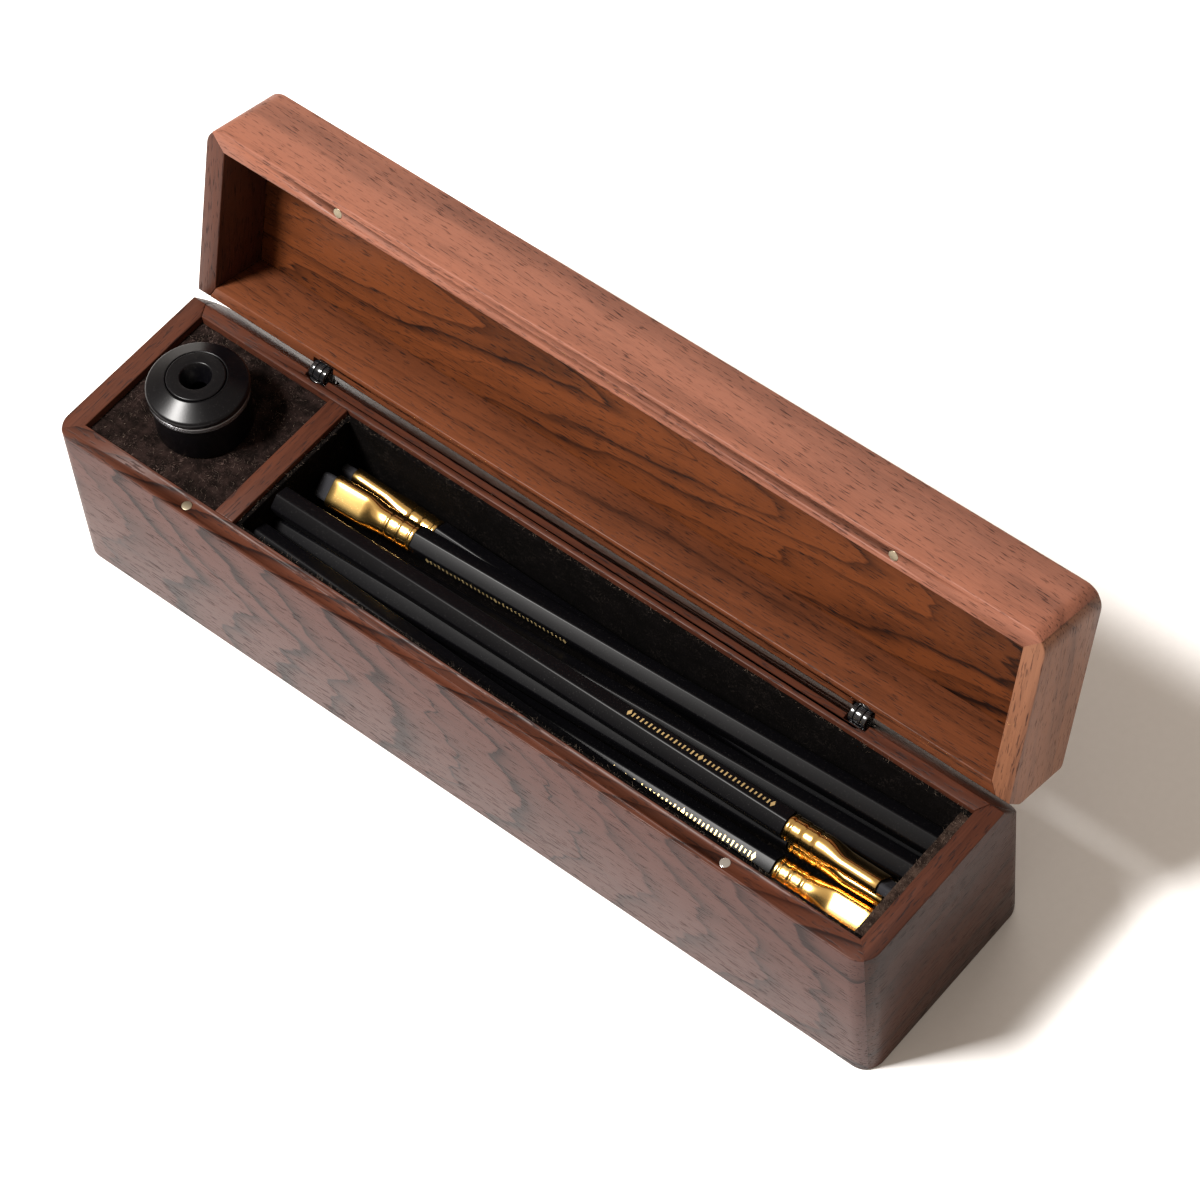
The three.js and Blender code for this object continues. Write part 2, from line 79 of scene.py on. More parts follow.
camera_data = bpy.data.cameras.new("camera")
camera_data.sensor_width = 36.0
camera_data.lens = 135.8
camera = bpy.data.objects.new("camera", camera_data)
bpy.context.scene.collection.objects.link(camera)
camera_back = CAMERA_RIGHT.cross(CAMERA_UP)
camera_turn = Matrix((CAMERA_RIGHT, CAMERA_UP, camera_back)).transposed().to_4x4()
camera.matrix_world = Matrix.Translation(CAMERA_PLACE) @ camera_turn
bpy.context.scene.camera = camera
bpy.context.scene.view_settings.view_transform = "Standard"
print("camera lens", camera_data.lens, "mm")

# %% [markdown]
# ## Helpers for shader nodes
# A material is a network of nodes. This small class adds a node, sets its inputs and returns it, so
# that a finish reads from top to bottom. An input takes a plain value or another node's output.


# %% Shader helpers
class Net:
    """Adds nodes to one node tree and links them."""

    def __init__(self, tree):
        self.tree = tree
        self.count = 0

    def add(self, kind, inputs=None, **settings):
        item = self.tree.nodes.new(kind)
        item.location = (180 * (self.count % 12), -260 * (self.count // 12))
        self.count += 1
        for key, value in settings.items():
            setattr(item, key, value)
        for key, value in (inputs or {}).items():
            if isinstance(value, bpy.types.NodeSocket):
                self.tree.links.new(value, item.inputs[key])
            else:
                item.inputs[key].default_value = value
        return item

    def math(self, operation, a, b=0.0, c=0.0, clamp=False):
        inputs = {0: a, 1: b, 2: c}
        return self.add("ShaderNodeMath", inputs, operation=operation, use_clamp=clamp).outputs[0]

    def vector(self, operation, a, b):
        return self.add("ShaderNodeVectorMath", {0: a, 1: b}, operation=operation).outputs[0]

    def noise(self, vector, scale=1.0, detail=2.0, roughness=0.5):
        inputs = {"Vector": vector, "Scale": scale, "Detail": detail, "Roughness": roughness}
        return self.add("ShaderNodeTexNoise", inputs).outputs["Fac"]

    def ramp(self, value, low, high):
        """0 at or below low, 1 at or above high, smooth between."""
        inputs = {"Value": value, "From Min": low, "From Max": high}
        item = self.add("ShaderNodeMapRange", inputs, interpolation_type="SMOOTHSTEP")
        return item.outputs["Result"]

    def mix(self, factor, a, b, blend="MIX"):
        item = self.add("ShaderNodeMix", data_type="RGBA", blend_type=blend)
        for socket, value in ((item.inputs[0], factor), (item.inputs[6], a), (item.inputs[7], b)):
            if isinstance(value, bpy.types.NodeSocket):
                self.tree.links.new(value, socket)
            else:
                socket.default_value = value
        return item.outputs[2]


def rgb(red, green, blue):
    return (red, green, blue, 1.0)


def new_group(name, inputs, outputs):
    """A node group with named sockets. inputs maps a name to its kind and first value."""
    tree = bpy.data.node_groups.new(name, "ShaderNodeTree")
    kinds = {"float": "NodeSocketFloat", "color": "NodeSocketColor", "vector": "NodeSocketVector"}
    for label, (kind, value) in inputs.items():
        socket = tree.interface.new_socket(label, in_out="INPUT", socket_type=kinds[kind])
        if value is not None:
            socket.default_value = value
    for label, kind in outputs.items():
        tree.interface.new_socket(label, in_out="OUTPUT", socket_type=kinds[kind])
    net = Net(tree)
    source = net.add("NodeGroupInput").outputs
    sink = net.add("NodeGroupOutput").inputs
    return net, source, sink


def new_material(name):
    """A material with only a Principled shader and its output."""
    material = bpy.data.materials.new(name)
    material.use_nodes = True
    tree = material.node_tree
    tree.nodes.clear()
    net = Net(tree)
    shader = net.add("ShaderNodeBsdfPrincipled")
    output = net.add("ShaderNodeOutputMaterial")
    tree.links.new(shader.outputs[0], output.inputs[0])
    return material, net, shader


# %% [markdown]
# ## Walnut
# A board's figure is where its face cuts through the growth rings of the tree. So the figure is made
# in the solid: rings around a pith that runs nearly along the board, bent by slow noise. A face close
# to the pith and slightly tilted shows nested arches, and a face far from it shows straight lines.
# The rings, the streaks that follow them, the fibres and the open pores are one node group, which
# each board places and turns in its own way.

# %% Walnut group
walnut_inputs = {
    "Vector": ("vector", None),
    "Pith Depth": ("float", 12.0),
    "Tilt": ("float", 0.14),
    "Ring Width": ("float", 2.5),
    "Waver": ("float", 3.0),
    "Figure": ("float", 0.6),
    "Streak": ("float", 0.35),
    "Pale": ("color", rgb(0.2, 0.08, 0.045)),
    "Dark": ("color", rgb(0.04, 0.014, 0.009)),
}
net, given, out = new_group(
    "walnut figure", walnut_inputs, {"Color": "color", "Roughness": "float", "Height": "float"}
)
slow = net.noise(net.vector("MULTIPLY", given["Vector"], (0.009, 0.06, 0.06)), detail=1.0)
quick = net.noise(net.vector("MULTIPLY", given["Vector"], (0.03, 0.2, 0.2)), detail=2.0)
place = net.add("ShaderNodeSeparateXYZ", {0: given["Vector"]}).outputs
depth = net.math("ADD", place["Z"], given["Pith Depth"])
square = net.math("MULTIPLY_ADD", place["Y"], place["Y"], net.math("MULTIPLY", depth, depth))
radius = net.math("MULTIPLY_ADD", place["X"], given["Tilt"], net.math("SQRT", square))
bend = net.math("MULTIPLY", net.math("SUBTRACT", slow, 0.5), given["Waver"])
bend = net.math("MULTIPLY_ADD", bend, 4.0, radius)
wobble = net.math("MULTIPLY", net.math("SUBTRACT", quick, 0.5), given["Waver"])
bend = net.math("ADD", wobble, bend)
ring = net.math("DIVIDE", bend, given["Ring Width"])
across = net.math("FRACT", ring)
year = net.add("ShaderNodeTexWhiteNoise", {"W": net.math("FLOOR", ring)}, noise_dimensions="1D")
bold = net.math("MULTIPLY_ADD", year.outputs["Value"], 0.75, 0.25)
fade = net.math("POWER", net.math("SUBTRACT", 1.0, across), 4.0)
line = net.math("MAXIMUM", fade, net.ramp(across, 0.93, 1.0))
line = net.math("MULTIPLY", net.math("MULTIPLY", line, bold), given["Figure"])
streak_place = net.add(
    "ShaderNodeCombineXYZ", {0: net.math("MULTIPLY", place["X"], 0.006), 1: net.math("MULTIPLY", ring, 0.55)}
)
streaks = net.noise(streak_place.outputs[0], scale=1.0, detail=3.0)
streaks = net.math("MULTIPLY", net.ramp(streaks, 0.4, 0.75), given["Streak"])
fibres = net.noise(net.vector("MULTIPLY", given["Vector"], (0.09, 2.2, 2.2)), detail=3.0)
flecks = net.noise(net.vector("MULTIPLY", given["Vector"], (0.24, 2.1, 2.1)), detail=2.0)
pores = net.ramp(flecks, 0.56, 0.68)
mottle = net.noise(net.vector("MULTIPLY", given["Vector"], (0.05, 0.12, 0.12)), detail=3.0)
shade = net.math("ADD", line, streaks)
shade = net.math("MULTIPLY_ADD", net.math("SUBTRACT", 0.5, fibres), 0.6, shade)
shade = net.math("MULTIPLY_ADD", pores, 0.62, shade)
shade = net.math("MULTIPLY_ADD", net.math("SUBTRACT", mottle, 0.5), 0.5, shade, clamp=True)
colour = net.mix(shade, given["Pale"], given["Dark"])
net.tree.links.new(colour, out["Color"])
gloss = net.math("MULTIPLY_ADD", pores, 0.2, net.math("MULTIPLY_ADD", fibres, 0.16, 0.36))
net.tree.links.new(gloss, out["Roughness"])
relief = net.math("SUBTRACT", net.math("MULTIPLY", fibres, 0.5), pores)
net.tree.links.new(relief, out["Height"])
walnut_group = net.tree
print("walnut group nodes:", len(walnut_group.nodes))

# %% [markdown]
# Each board lies its own way: the ends run across the box, the walls stand up, and the lid is turned
# open about its hinge. A Mapping node brings a point of the open box to its own board, in
# millimetres, with X along the grain, Y across the board's face and Z out of it.

# %% Lies of the boards
OPEN_ANGLE = math.radians(105.5)
HINGE = Vector((0.0, 25.3, 54.75))
RIM_STARTS = 54.25 * MM

shut_lid = (
    Matrix.Translation(HINGE) @ Matrix.Rotation(OPEN_ANGLE, 4, "X") @ Matrix.Translation(-HINGE)
)
FLAT = Matrix.Identity(4)
STANDING = Matrix.Rotation(math.radians(-90), 4, "X")
CROSSWISE = Matrix(((0, 1, 0, 0), (0, 0, 1, 0), (1, 0, 0, 0), (0, 0, 0, 1)))


def walnut(name, lie, shift, in_lid=False, slant=0.0, rim=None, **values):
    """A walnut finish: lie and shift place the board in the log, values set the group's inputs, and
    rim is another tone for the top face of the base's wall, while the faces below keep their
    painted tone from values: painted sheen on the front wall, painted shade on the right end."""
    material, net, shader = new_material(name)
    slope = Matrix.Rotation(math.radians(slant), 4, "Z")
    to_board = slope @ Matrix.Translation(Vector(shift)) @ lie @ (shut_lid if in_lid else FLAT)
    point = net.add("ShaderNodeTexCoord").outputs["Object"]
    mapping = net.add("ShaderNodeMapping", {"Vector": point, "Scale": (1000, 1000, 1000)})
    mapping.inputs["Location"].default_value = to_board.translation
    mapping.inputs["Rotation"].default_value = to_board.to_euler("XYZ")
    figure = net.add("ShaderNodeGroup", node_tree=walnut_group)
    net.tree.links.new(mapping.outputs[0], figure.inputs["Vector"])
    for label, value in values.items():
        figure.inputs[label.replace("_", " ")].default_value = value
    # The top face takes the rim tone; the faces below keep their painted tone from values, painted sheen on
    # the front wall and painted shade on the right end.
    if rim:
        height = net.add("ShaderNodeSeparateXYZ", {0: point}).outputs["Z"]
        on_rim = net.ramp(height, RIM_STARTS, RIM_STARTS + 0.3 * MM)
        for label in ("Pale", "Dark"):
            tone = net.mix(on_rim, values[label], rim[label])
            net.tree.links.new(tone, figure.inputs[label])
    bump = net.add("ShaderNodeBump", {"Height": figure.outputs["Height"], "Strength": 0.35})
    bump.inputs["Distance"].default_value = 0.00012
    net.tree.links.new(figure.outputs["Color"], shader.inputs["Base Color"])
    net.tree.links.new(figure.outputs["Roughness"], shader.inputs["Roughness"])
    net.tree.links.new(bump.outputs[0], shader.inputs["Normal"])
    shader.inputs["Specular IOR Level"].default_value = 0.20
    return material


# %% Walnut finishes
RIM = {"Pale": rgb(0.064, 0.019, 0.0095), "Dark": rgb(0.013, 0.0042, 0.003)}
# Painted sheen: the front wall's faces are painted lighter and pinker than its top, for the sheen and the
# bounce light from the white floor on them.
PAINTED_SHEEN = {"Pale": rgb(0.078, 0.034, 0.028), "Dark": rgb(0.018, 0.0078, 0.007)}
# Painted shade: the right end's faces, which face away from the main light, are painted darker than its top.
SHADED = {"Pale": rgb(0.048, 0.0145, 0.0072), "Dark": rgb(0.010, 0.0033, 0.0022)}
PANEL_TONE = {"Pale": rgb(0.125, 0.034, 0.010), "Dark": rgb(0.011, 0.004, 0.0025)}
# Painted light: the lid's front wall, which faces up into the main light once the lid is open, is painted
# far lighter than the other walnut.
PAINTED_LIT = {"Pale": rgb(0.222, 0.083, 0.050), "Dark": rgb(0.035, 0.012, 0.008)}

walnut_finishes = {
    "base_front_wall": walnut(
        "walnut base front", STANDING, (0, -22, 32.75), rim=RIM, Pith_Depth=24.0,
        Tilt=0.25, Ring_Width=5.0, Waver=2.8, Figure=1.5, Streak=0.2, **PAINTED_SHEEN,
    ),
    "base_back_wall": walnut(
        "walnut base back", STANDING, (40, -30, 30), Pith_Depth=60.0, Tilt=0.03,
        Ring_Width=3.2, Waver=2.0, Figure=0.4, Streak=0.5, **RIM,
    ),
    "base_left_end": walnut(
        "walnut base left end", CROSSWISE, (10, -20, 138), Pith_Depth=40.0, Tilt=0.05,
        Ring_Width=3.0, Waver=2.0, Figure=0.5, Streak=0.5, **RIM,
    ),
    "base_right_end": walnut(
        "walnut base right end", CROSSWISE, (-30, -52, -138), rim=RIM, Pith_Depth=44.0, Tilt=0.05,
        Ring_Width=3.4, Waver=2.4, Figure=0.55, Streak=0.6, **SHADED,
    ),
    "base_bottom_panel": walnut(
        "walnut base bottom", FLAT, (30, 6, 0), Pith_Depth=14.0, Tilt=0.1,
        Ring_Width=3.0, Waver=3.0, Figure=0.6, Streak=0.4, **RIM,
    ),
    "compartment_divider": walnut(
        "walnut divider", CROSSWISE, (0, -10, 81), Pith_Depth=50.0, Tilt=0.04,
        Ring_Width=3.0, Waver=2.0, Figure=0.4, Streak=0.4, **RIM,
    ),
    "lid_front_wall": walnut(
        "walnut lid front", STANDING, (0, -120, -32.75), True, slant=2.5, Pith_Depth=80.0,
        Tilt=0.02, Ring_Width=3.2, Waver=1.6, Figure=0.22, Streak=0.4, **PAINTED_LIT,
    ),
    "lid_back_wall": walnut(
        "walnut lid back", STANDING, (60, -100, 10), True, Pith_Depth=70.0, Tilt=0.02,
        Ring_Width=2.8, Waver=2.2, Figure=0.5, Streak=0.5,
        Pale=rgb(0.115, 0.034, 0.013), Dark=rgb(0.018, 0.006, 0.003),
    ),
    "lid_left_end": walnut(
        "walnut lid left end", CROSSWISE, (0, -90, 138), True, Pith_Depth=50.0, Tilt=0.03,
        Ring_Width=3.0, Waver=2.0, Figure=0.4, Streak=0.4, **RIM,
    ),
    "lid_right_end": walnut(
        "walnut lid right end", CROSSWISE, (0, -100, -138), True, Pith_Depth=50.0, Tilt=0.05,
        Ring_Width=3.0, Waver=2.0, Figure=0.4, Streak=0.5,
        Pale=rgb(0.2, 0.085, 0.045), Dark=rgb(0.045, 0.017, 0.011),
    ),
    "lid_top_panel": walnut(
        "walnut lid panel", FLAT, (60, 6, -73.5), True, Pith_Depth=11.0, Tilt=0.15,
        Ring_Width=5.2, Waver=5.0, Figure=0.75, Streak=0.75, **PANEL_TONE,
    ),
    "sharpener_plinth": walnut(
        "walnut sharpener floor", FLAT, (0, 0, 0), Pith_Depth=50.0, Figure=0.3, **RIM
    ),
    "pencil_plinth": walnut(
        "walnut pencil floor", FLAT, (0, 20, 0), Pith_Depth=50.0, Figure=0.3, **RIM
    ),
}
print("walnut finishes:", len(walnut_finishes))

# %% [markdown]
# ## Helpers for pieces
# A piece that is made here stands for a imported node: it takes the node's place and rides on the
# same body. Most of the woodwork needs only what a cabinet maker does last, which is to ease the
# sharp edges with fine paper, so a merged copy of the node is bevelled by a fraction of a
# millimetre.

# %% Piece helpers
node_body = {node: body for body, names in frame["record"]["behaviour"]["bodies"].items() for node in names}


def finish_piece(bm, name, material, body, stands_for=(), smooth=40.0):
    """Turns a bmesh in metres into an object that rides on a body, with its normals outward."""
    bmesh.ops.remove_doubles(bm, verts=bm.verts, dist=1e-7)
    bmesh.ops.recalc_face_normals(bm, faces=bm.faces)
    for face in bm.faces:
        face.smooth = True
    mesh = bpy.data.meshes.new(name)
    bm.to_mesh(mesh)
    bm.free()
    mesh.set_sharp_from_angle(angle=math.radians(smooth))
    mesh.materials.append(material)
    item = bpy.data.objects.new(name, mesh)
    bpy.context.scene.collection.objects.link(item)
    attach(item, body)
    if stands_for:
        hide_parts(*stands_for)
    return item


def merged_copy(node):
    """A node's loose triangles as one connected shape with whole flat faces."""
    bm = bmesh.new()
    bm.from_mesh(nodes[node].data)
    bmesh.ops.remove_doubles(bm, verts=bm.verts, dist=2e-6)
    bmesh.ops.dissolve_limit(bm, angle_limit=math.radians(0.8), verts=bm.verts, edges=bm.edges)
    return bm


def ease_edges(bm, width, segments=2, sharper_than=30.0, longer_than=0.0, clamp=True, skip=()):
    """Rounds the sharp edges and returns how many there were."""
    limit = math.radians(sharper_than)
    sharp = [
        edge for edge in bm.edges
        if len(edge.link_faces) == 2
        and edge.calc_face_angle(0) > limit
        and edge.calc_length() > longer_than
        and edge not in skip
    ]
    bmesh.ops.bevel(
        bm, geom=sharp, offset=width, offset_type="OFFSET", affect="EDGES", segments=segments,
        profile=0.5, material=-1, clamp_overlap=clamp,
    )
    return len(sharp)


def put_finish(node, material):
    """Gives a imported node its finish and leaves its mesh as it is."""
    nodes[node].data.materials.clear()
    nodes[node].data.materials.append(material)


# %% [markdown]
# The long walls are packed a fifth of a millimetre short at each mitre, so that no two pieces touch.
# A glued mitre shows only a hairline, so here the long walls reach a little further, and the mitre's
# own edges stay sharp.

# %% Woodwork
EASE = 0.28 * MM
MITRE_REACH = 0.17 * MM
MITRE_START = 131.0 * MM
MITRE_AREA = 100.0 * MM * MM


def mitre_faces(bm):
    return [
        face for face in bm.faces
        if abs(abs(face.normal.x) - math.sqrt(0.5)) < 0.01 and face.calc_area() > MITRE_AREA
    ]


for node, material in walnut_finishes.items():
    if node in ("sharpener_plinth", "pencil_plinth"):
        put_finish(node, material)
        continue
    bm = merged_copy(node)
    bm.normal_update()
    before = bm.calc_volume()
    if node.endswith(("front_wall", "back_wall")):
        for side in (-1, 1):
            reached = [vert for vert in bm.verts if side * vert.co.x > MITRE_START]
            bmesh.ops.translate(bm, verts=reached, vec=(side * MITRE_REACH, 0, 0))
    kept_sharp = {edge for face in mitre_faces(bm) for edge in face.edges}
    count = ease_edges(bm, EASE, longer_than=0.6 * MM, clamp=False, skip=kept_sharp)
    after = bm.calc_volume()
    open_edges = sum(1 for edge in bm.edges if not edge.is_manifold)
    print(f"{node}: {count} edges eased, volume kept {after / before:.4f}, open edges {open_edges}")
    finish_piece(bm, "walnut_" + node, material, node_body[node], (node,), smooth=50.0)

# %% [markdown]
# ## Hinges and magnets
# Only the knuckles of the two barrel hinges show, as small glossy black rounds in the gap behind the
# base, so the outer rims of a knuckle are rounded well. The magnets are nickel discs pressed into
# the rims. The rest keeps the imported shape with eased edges, which catch the light.

# %% Surface group for metal, lacquer and rubber
net, given, out = new_group(
    "handled surface",
    {
        "Vector": ("vector", None),
        "Grain": ("float", 900.0),
        "Base Roughness": ("float", 0.3),
        "Unevenness": ("float", 0.1),
        "Dust": ("float", 0.1),
    },
    {"Roughness": "float", "Dust Mask": "float", "Height": "float"},
)
smears = net.noise(given["Vector"], scale=55.0, detail=3.0)
fine = net.add("ShaderNodeTexNoise", {"Vector": given["Vector"], "Scale": given["Grain"], "Detail": 2.0})
specks = net.noise(given["Vector"], scale=2600.0, detail=1.0)
dust = net.math("MULTIPLY", net.ramp(specks, 0.66, 0.74), given["Dust"])
uneven = net.math("MULTIPLY", net.math("SUBTRACT", smears, 0.5), given["Unevenness"])
rough = net.math("ADD", given["Base Roughness"], uneven)
net.tree.links.new(net.math("MULTIPLY_ADD", dust, 0.3, rough, clamp=True), out["Roughness"])
net.tree.links.new(dust, out["Dust Mask"])
net.tree.links.new(fine.outputs["Fac"], out["Height"])
surface_group = net.tree


def coated(name, colour, dust_colour, metallic, roughness, uneven, dust, grain, relief, **settings):
    """A finish for metal, lacquer or rubber: an even colour, smears in its gloss and specks of dust."""
    material, net, shader = new_material(name)
    point = net.add("ShaderNodeTexCoord").outputs["Object"]
    inputs = {
        "Vector": point, "Grain": grain, "Base Roughness": roughness, "Unevenness": uneven, "Dust": dust,
    }
    group = net.add("ShaderNodeGroup", node_tree=surface_group)
    for key, value in inputs.items():
        if key == "Vector":
            net.tree.links.new(value, group.inputs[key])
        else:
            group.inputs[key].default_value = value
    tint = net.mix(group.outputs["Dust Mask"], colour, dust_colour)
    net.tree.links.new(tint, shader.inputs["Base Color"])
    net.tree.links.new(group.outputs["Roughness"], shader.inputs["Roughness"])
    bump = net.add("ShaderNodeBump", {"Height": group.outputs["Height"], "Strength": relief})
    bump.inputs["Distance"].default_value = 0.00003
    net.tree.links.new(bump.outputs[0], shader.inputs["Normal"])
    shader.inputs["Metallic"].default_value = metallic
    for key, value in settings.items():
        shader.inputs[key.replace("_", " ")].default_value = value
    return material


GREY_DUST = rgb(0.25, 0.24, 0.23)
black_hinge = coated(
    "black hinge", rgb(0.008, 0.008, 0.009), GREY_DUST, 0.0, 0.16, 0.1, 0.1, 1800.0, 0.1,
    Specular_IOR_Level=0.9,
)
# Painted shade: a darker, browner and rougher copy of the nickel, for the magnets that lie in shade.
nickel_painted_shade = coated(
    "magnet nickel painted shade", rgb(0.33, 0.28, 0.2), GREY_DUST, 1.0, 0.42, 0.3, 0.2, 2500.0, 0.6
)
nickel_bright = coated(
    "magnet nickel bright", rgb(0.82, 0.81, 0.79), GREY_DUST, 1.0, 0.2, 0.25, 0.1, 2500.0, 0.4
)

# %% Hinges and magnets
HINGE_X = 92.0 * MM
HINGE_EASE = 0.25 * MM
MAGNET_EASE = 0.18 * MM
KNUCKLE_ROUNDING = 0.9 * MM
KNUCKLE_REACH = 2.7 * MM
PIN_HOLE = 1.5 * MM


def off_axis(vert):
    """How far a corner is from the hinge axis."""
    return math.hypot(vert.co.y - HINGE.y * MM, vert.co.z - HINGE.z * MM)


def round_knuckle(bm):
    """Rounds the outer rims of a knuckle, so that the two ears and the tongue make one ball."""
    outermost = max(abs(abs(vert.co.x) - HINGE_X) for vert in bm.verts if off_axis(vert) < KNUCKLE_REACH)
    rims = [
        edge for edge in bm.edges
        if all(
            abs(abs(vert.co.x) - HINGE_X) > outermost - 0.05 * MM
            and PIN_HOLE < off_axis(vert) < KNUCKLE_REACH
            for vert in edge.verts
        )
    ]
    bmesh.ops.bevel(
        bm, geom=rims, offset=KNUCKLE_ROUNDING, offset_type="OFFSET", affect="EDGES", segments=5,
        profile=0.5, material=-1, clamp_overlap=True,
    )


for side in ("left", "right"):
    for part in ("base_barrel", "lid_barrel"):
        node = f"hinge_{side}_{part}"
        bm = merged_copy(node)
        round_knuckle(bm)
        count = ease_edges(bm, HINGE_EASE, segments=3, sharper_than=55.0)
        print(node, "edges eased:", count)
        finish_piece(bm, "black_" + node, black_hinge, node_body[node], (node,))
    put_finish(f"hinge_{side}_pin", black_hinge)
    for part in ("base", "lid"):
        node = f"{part}_magnet_{side}"
        bm = merged_copy(node)
        ease_edges(bm, MAGNET_EASE, segments=3, sharper_than=60.0)
        # The base's right magnet keeps the bright nickel; the other three get the copy with painted shade.
        bright = nickel_bright if (part, side) == ("base", "right") else nickel_painted_shade
        finish_piece(bm, "nickel_" + node, bright, node_body[node], (node,))

# %% [markdown]
# ## Felt
# The tray and the sharpener's corner are lined with thick dark wool felt, cut with a knife and glued
# to the wood. Felt has no weave: its fibres lie every way, so its colour is cloudy and flecked, and
# loose fibres stand out from the cut edges. The slabs keep their packed size, their top edges are
# made slightly uneven, and separate curled fibres are planted along them.

# %% Felt finish
net, given, out = new_group(
    "felt fibres",
    {
        "Vector": ("vector", None),
        "Base": ("color", rgb(0.0035, 0.0021, 0.0017)),
        "Cloud": ("color", rgb(0.016, 0.0095, 0.0082)),
        "Fleck": ("color", rgb(0.060, 0.040, 0.034)),
    },
    {"Color": "color", "Height": "float"},
)
bends = net.add("ShaderNodeTexNoise", {"Vector": given["Vector"], "Scale": 260.0, "Detail": 2.0})
shifted = net.vector("SUBTRACT", bends.outputs["Color"], (0.5, 0.5, 0.5))
shifted = net.vector("MULTIPLY", shifted, (0.006, 0.006, 0.006))
shifted = net.vector("ADD", shifted, given["Vector"])
clouds = net.noise(given["Vector"], scale=230.0, detail=4.0, roughness=0.65)
hairs = []
for stretch in ((250.0, 2600.0, 2600.0), (2600.0, 250.0, 2600.0), (2600.0, 2600.0, 250.0)):
    strand = net.noise(net.vector("MULTIPLY", shifted, stretch), detail=1.0)
    hairs.append(net.ramp(strand, 0.60, 0.72))
hair = net.math("MAXIMUM", hairs[0], net.math("MAXIMUM", hairs[1], hairs[2]))
tone = net.mix(net.ramp(clouds, 0.38, 0.68), given["Base"], given["Cloud"])
patches = net.ramp(net.noise(given["Vector"], scale=140.0, detail=2.0), 0.42, 0.65)
strength = net.math("MULTIPLY_ADD", patches, 0.55, 0.2)
flecked = net.mix(net.math("MULTIPLY", hair, strength), tone, given["Fleck"])
net.tree.links.new(flecked, out["Color"])
nap = net.math("MULTIPLY_ADD", hair, 0.6, clouds)
net.tree.links.new(nap, out["Height"])
felt_group = net.tree


def felt(name, **values):
    material, net, shader = new_material(name)
    point = net.add("ShaderNodeTexCoord").outputs["Object"]
    group = net.add("ShaderNodeGroup", node_tree=felt_group)
    net.tree.links.new(point, group.inputs["Vector"])
    for key, value in values.items():
        group.inputs[key].default_value = value
    net.tree.links.new(group.outputs["Color"], shader.inputs["Base Color"])
    bump = net.add("ShaderNodeBump", {"Height": group.outputs["Height"], "Strength": 0.8})
    bump.inputs["Distance"].default_value = 0.0004
    net.tree.links.new(bump.outputs[0], shader.inputs["Normal"])
    shader.inputs["Roughness"].default_value = 0.95
    shader.inputs["Specular IOR Level"].default_value = 0.04
    return material


# Painted light and shade: the pad keeps the felt's own tone, the tray's floor and its front, back and left
# liners get a much darker copy as painted shade, and the right liner a lighter copy as painted light.
dark_felt = felt("dark felt")
lit_felt = felt(
    "right liner felt painted light", Base=rgb(0.010, 0.0062, 0.0048), Cloud=rgb(0.045, 0.028, 0.021),
    Fleck=rgb(0.13, 0.09, 0.07),
)
shaded_tray_felt = felt(
    "tray felt painted shade", Base=rgb(0.0012, 0.0009, 0.0008), Cloud=rgb(0.0022, 0.0017, 0.0017),
    Fleck=rgb(0.018, 0.014, 0.012),
)
fibre_felt, net, shader = new_material("loose felt fibre")
point = net.add("ShaderNodeTexCoord").outputs["Object"]
cloudy = net.ramp(net.noise(point, scale=900.0), 0.4, 0.6)
tone = net.mix(cloudy, rgb(0.03, 0.02, 0.015), rgb(0.2, 0.15, 0.11))
net.tree.links.new(tone, shader.inputs["Base Color"])
shader.inputs["Roughness"].default_value = 0.8

# %% Felt slabs
FELT_STEP = 2.5 * MM
FELT_EASE = 0.22 * MM
FELT_UNEVEN = 0.22 * MM
FELT_LUMPS = 420.0  # per metre
FELT_TOP_BAND = 0.3 * MM
FELT_NODES = (
    "felt_sharpener_pad", "felt_pencil_floor", "felt_front_liner",
    "felt_back_liner", "felt_left_liner", "felt_right_liner",
)

CLOTHS = {"felt_sharpener_pad": dark_felt, "felt_right_liner": lit_felt}


def slice_evenly(bm, axis, step):
    """Cuts the shape across an axis at even steps, so that there is something to move."""
    normal = Vector((0, 0, 0))
    normal[axis] = 1.0
    low = min(vert.co[axis] for vert in bm.verts)
    high = max(vert.co[axis] for vert in bm.verts)
    count = int((high - low) / step)
    for k in range(1, count):
        middle = normal * (low + (high - low) * k / count)
        geom = bm.verts[:] + bm.edges[:] + bm.faces[:]
        bmesh.ops.bisect_plane(bm, geom=geom, plane_co=middle, plane_no=normal, dist=1e-7)


for node in FELT_NODES:
    bm = merged_copy(node)
    ease_edges(bm, FELT_EASE, segments=2)
    slice_evenly(bm, 0, FELT_STEP)
    slice_evenly(bm, 1, FELT_STEP)
    top = max(vert.co.z for vert in bm.verts)
    for vert in bm.verts:
        if vert.co.z > top - FELT_TOP_BAND:
            vert.co.z += FELT_UNEVEN * (noise.noise(vert.co * FELT_LUMPS) - 0.55)
    cloth = CLOTHS.get(node, shaded_tray_felt)
    finish_piece(bm, "cut_" + node, cloth, node_body[node], (node,), smooth=70.0)
print("felt slabs:", len(FELT_NODES))

# %% [markdown]
# A loose fibre is a three-sided tube a few hundredths of a millimetre thick that curls as it grows. A
# few are made once and copied in many places, each turned its own way, so that every run of the
# script plants the same ones.

# %% Loose fibres
dice = random.Random(11)


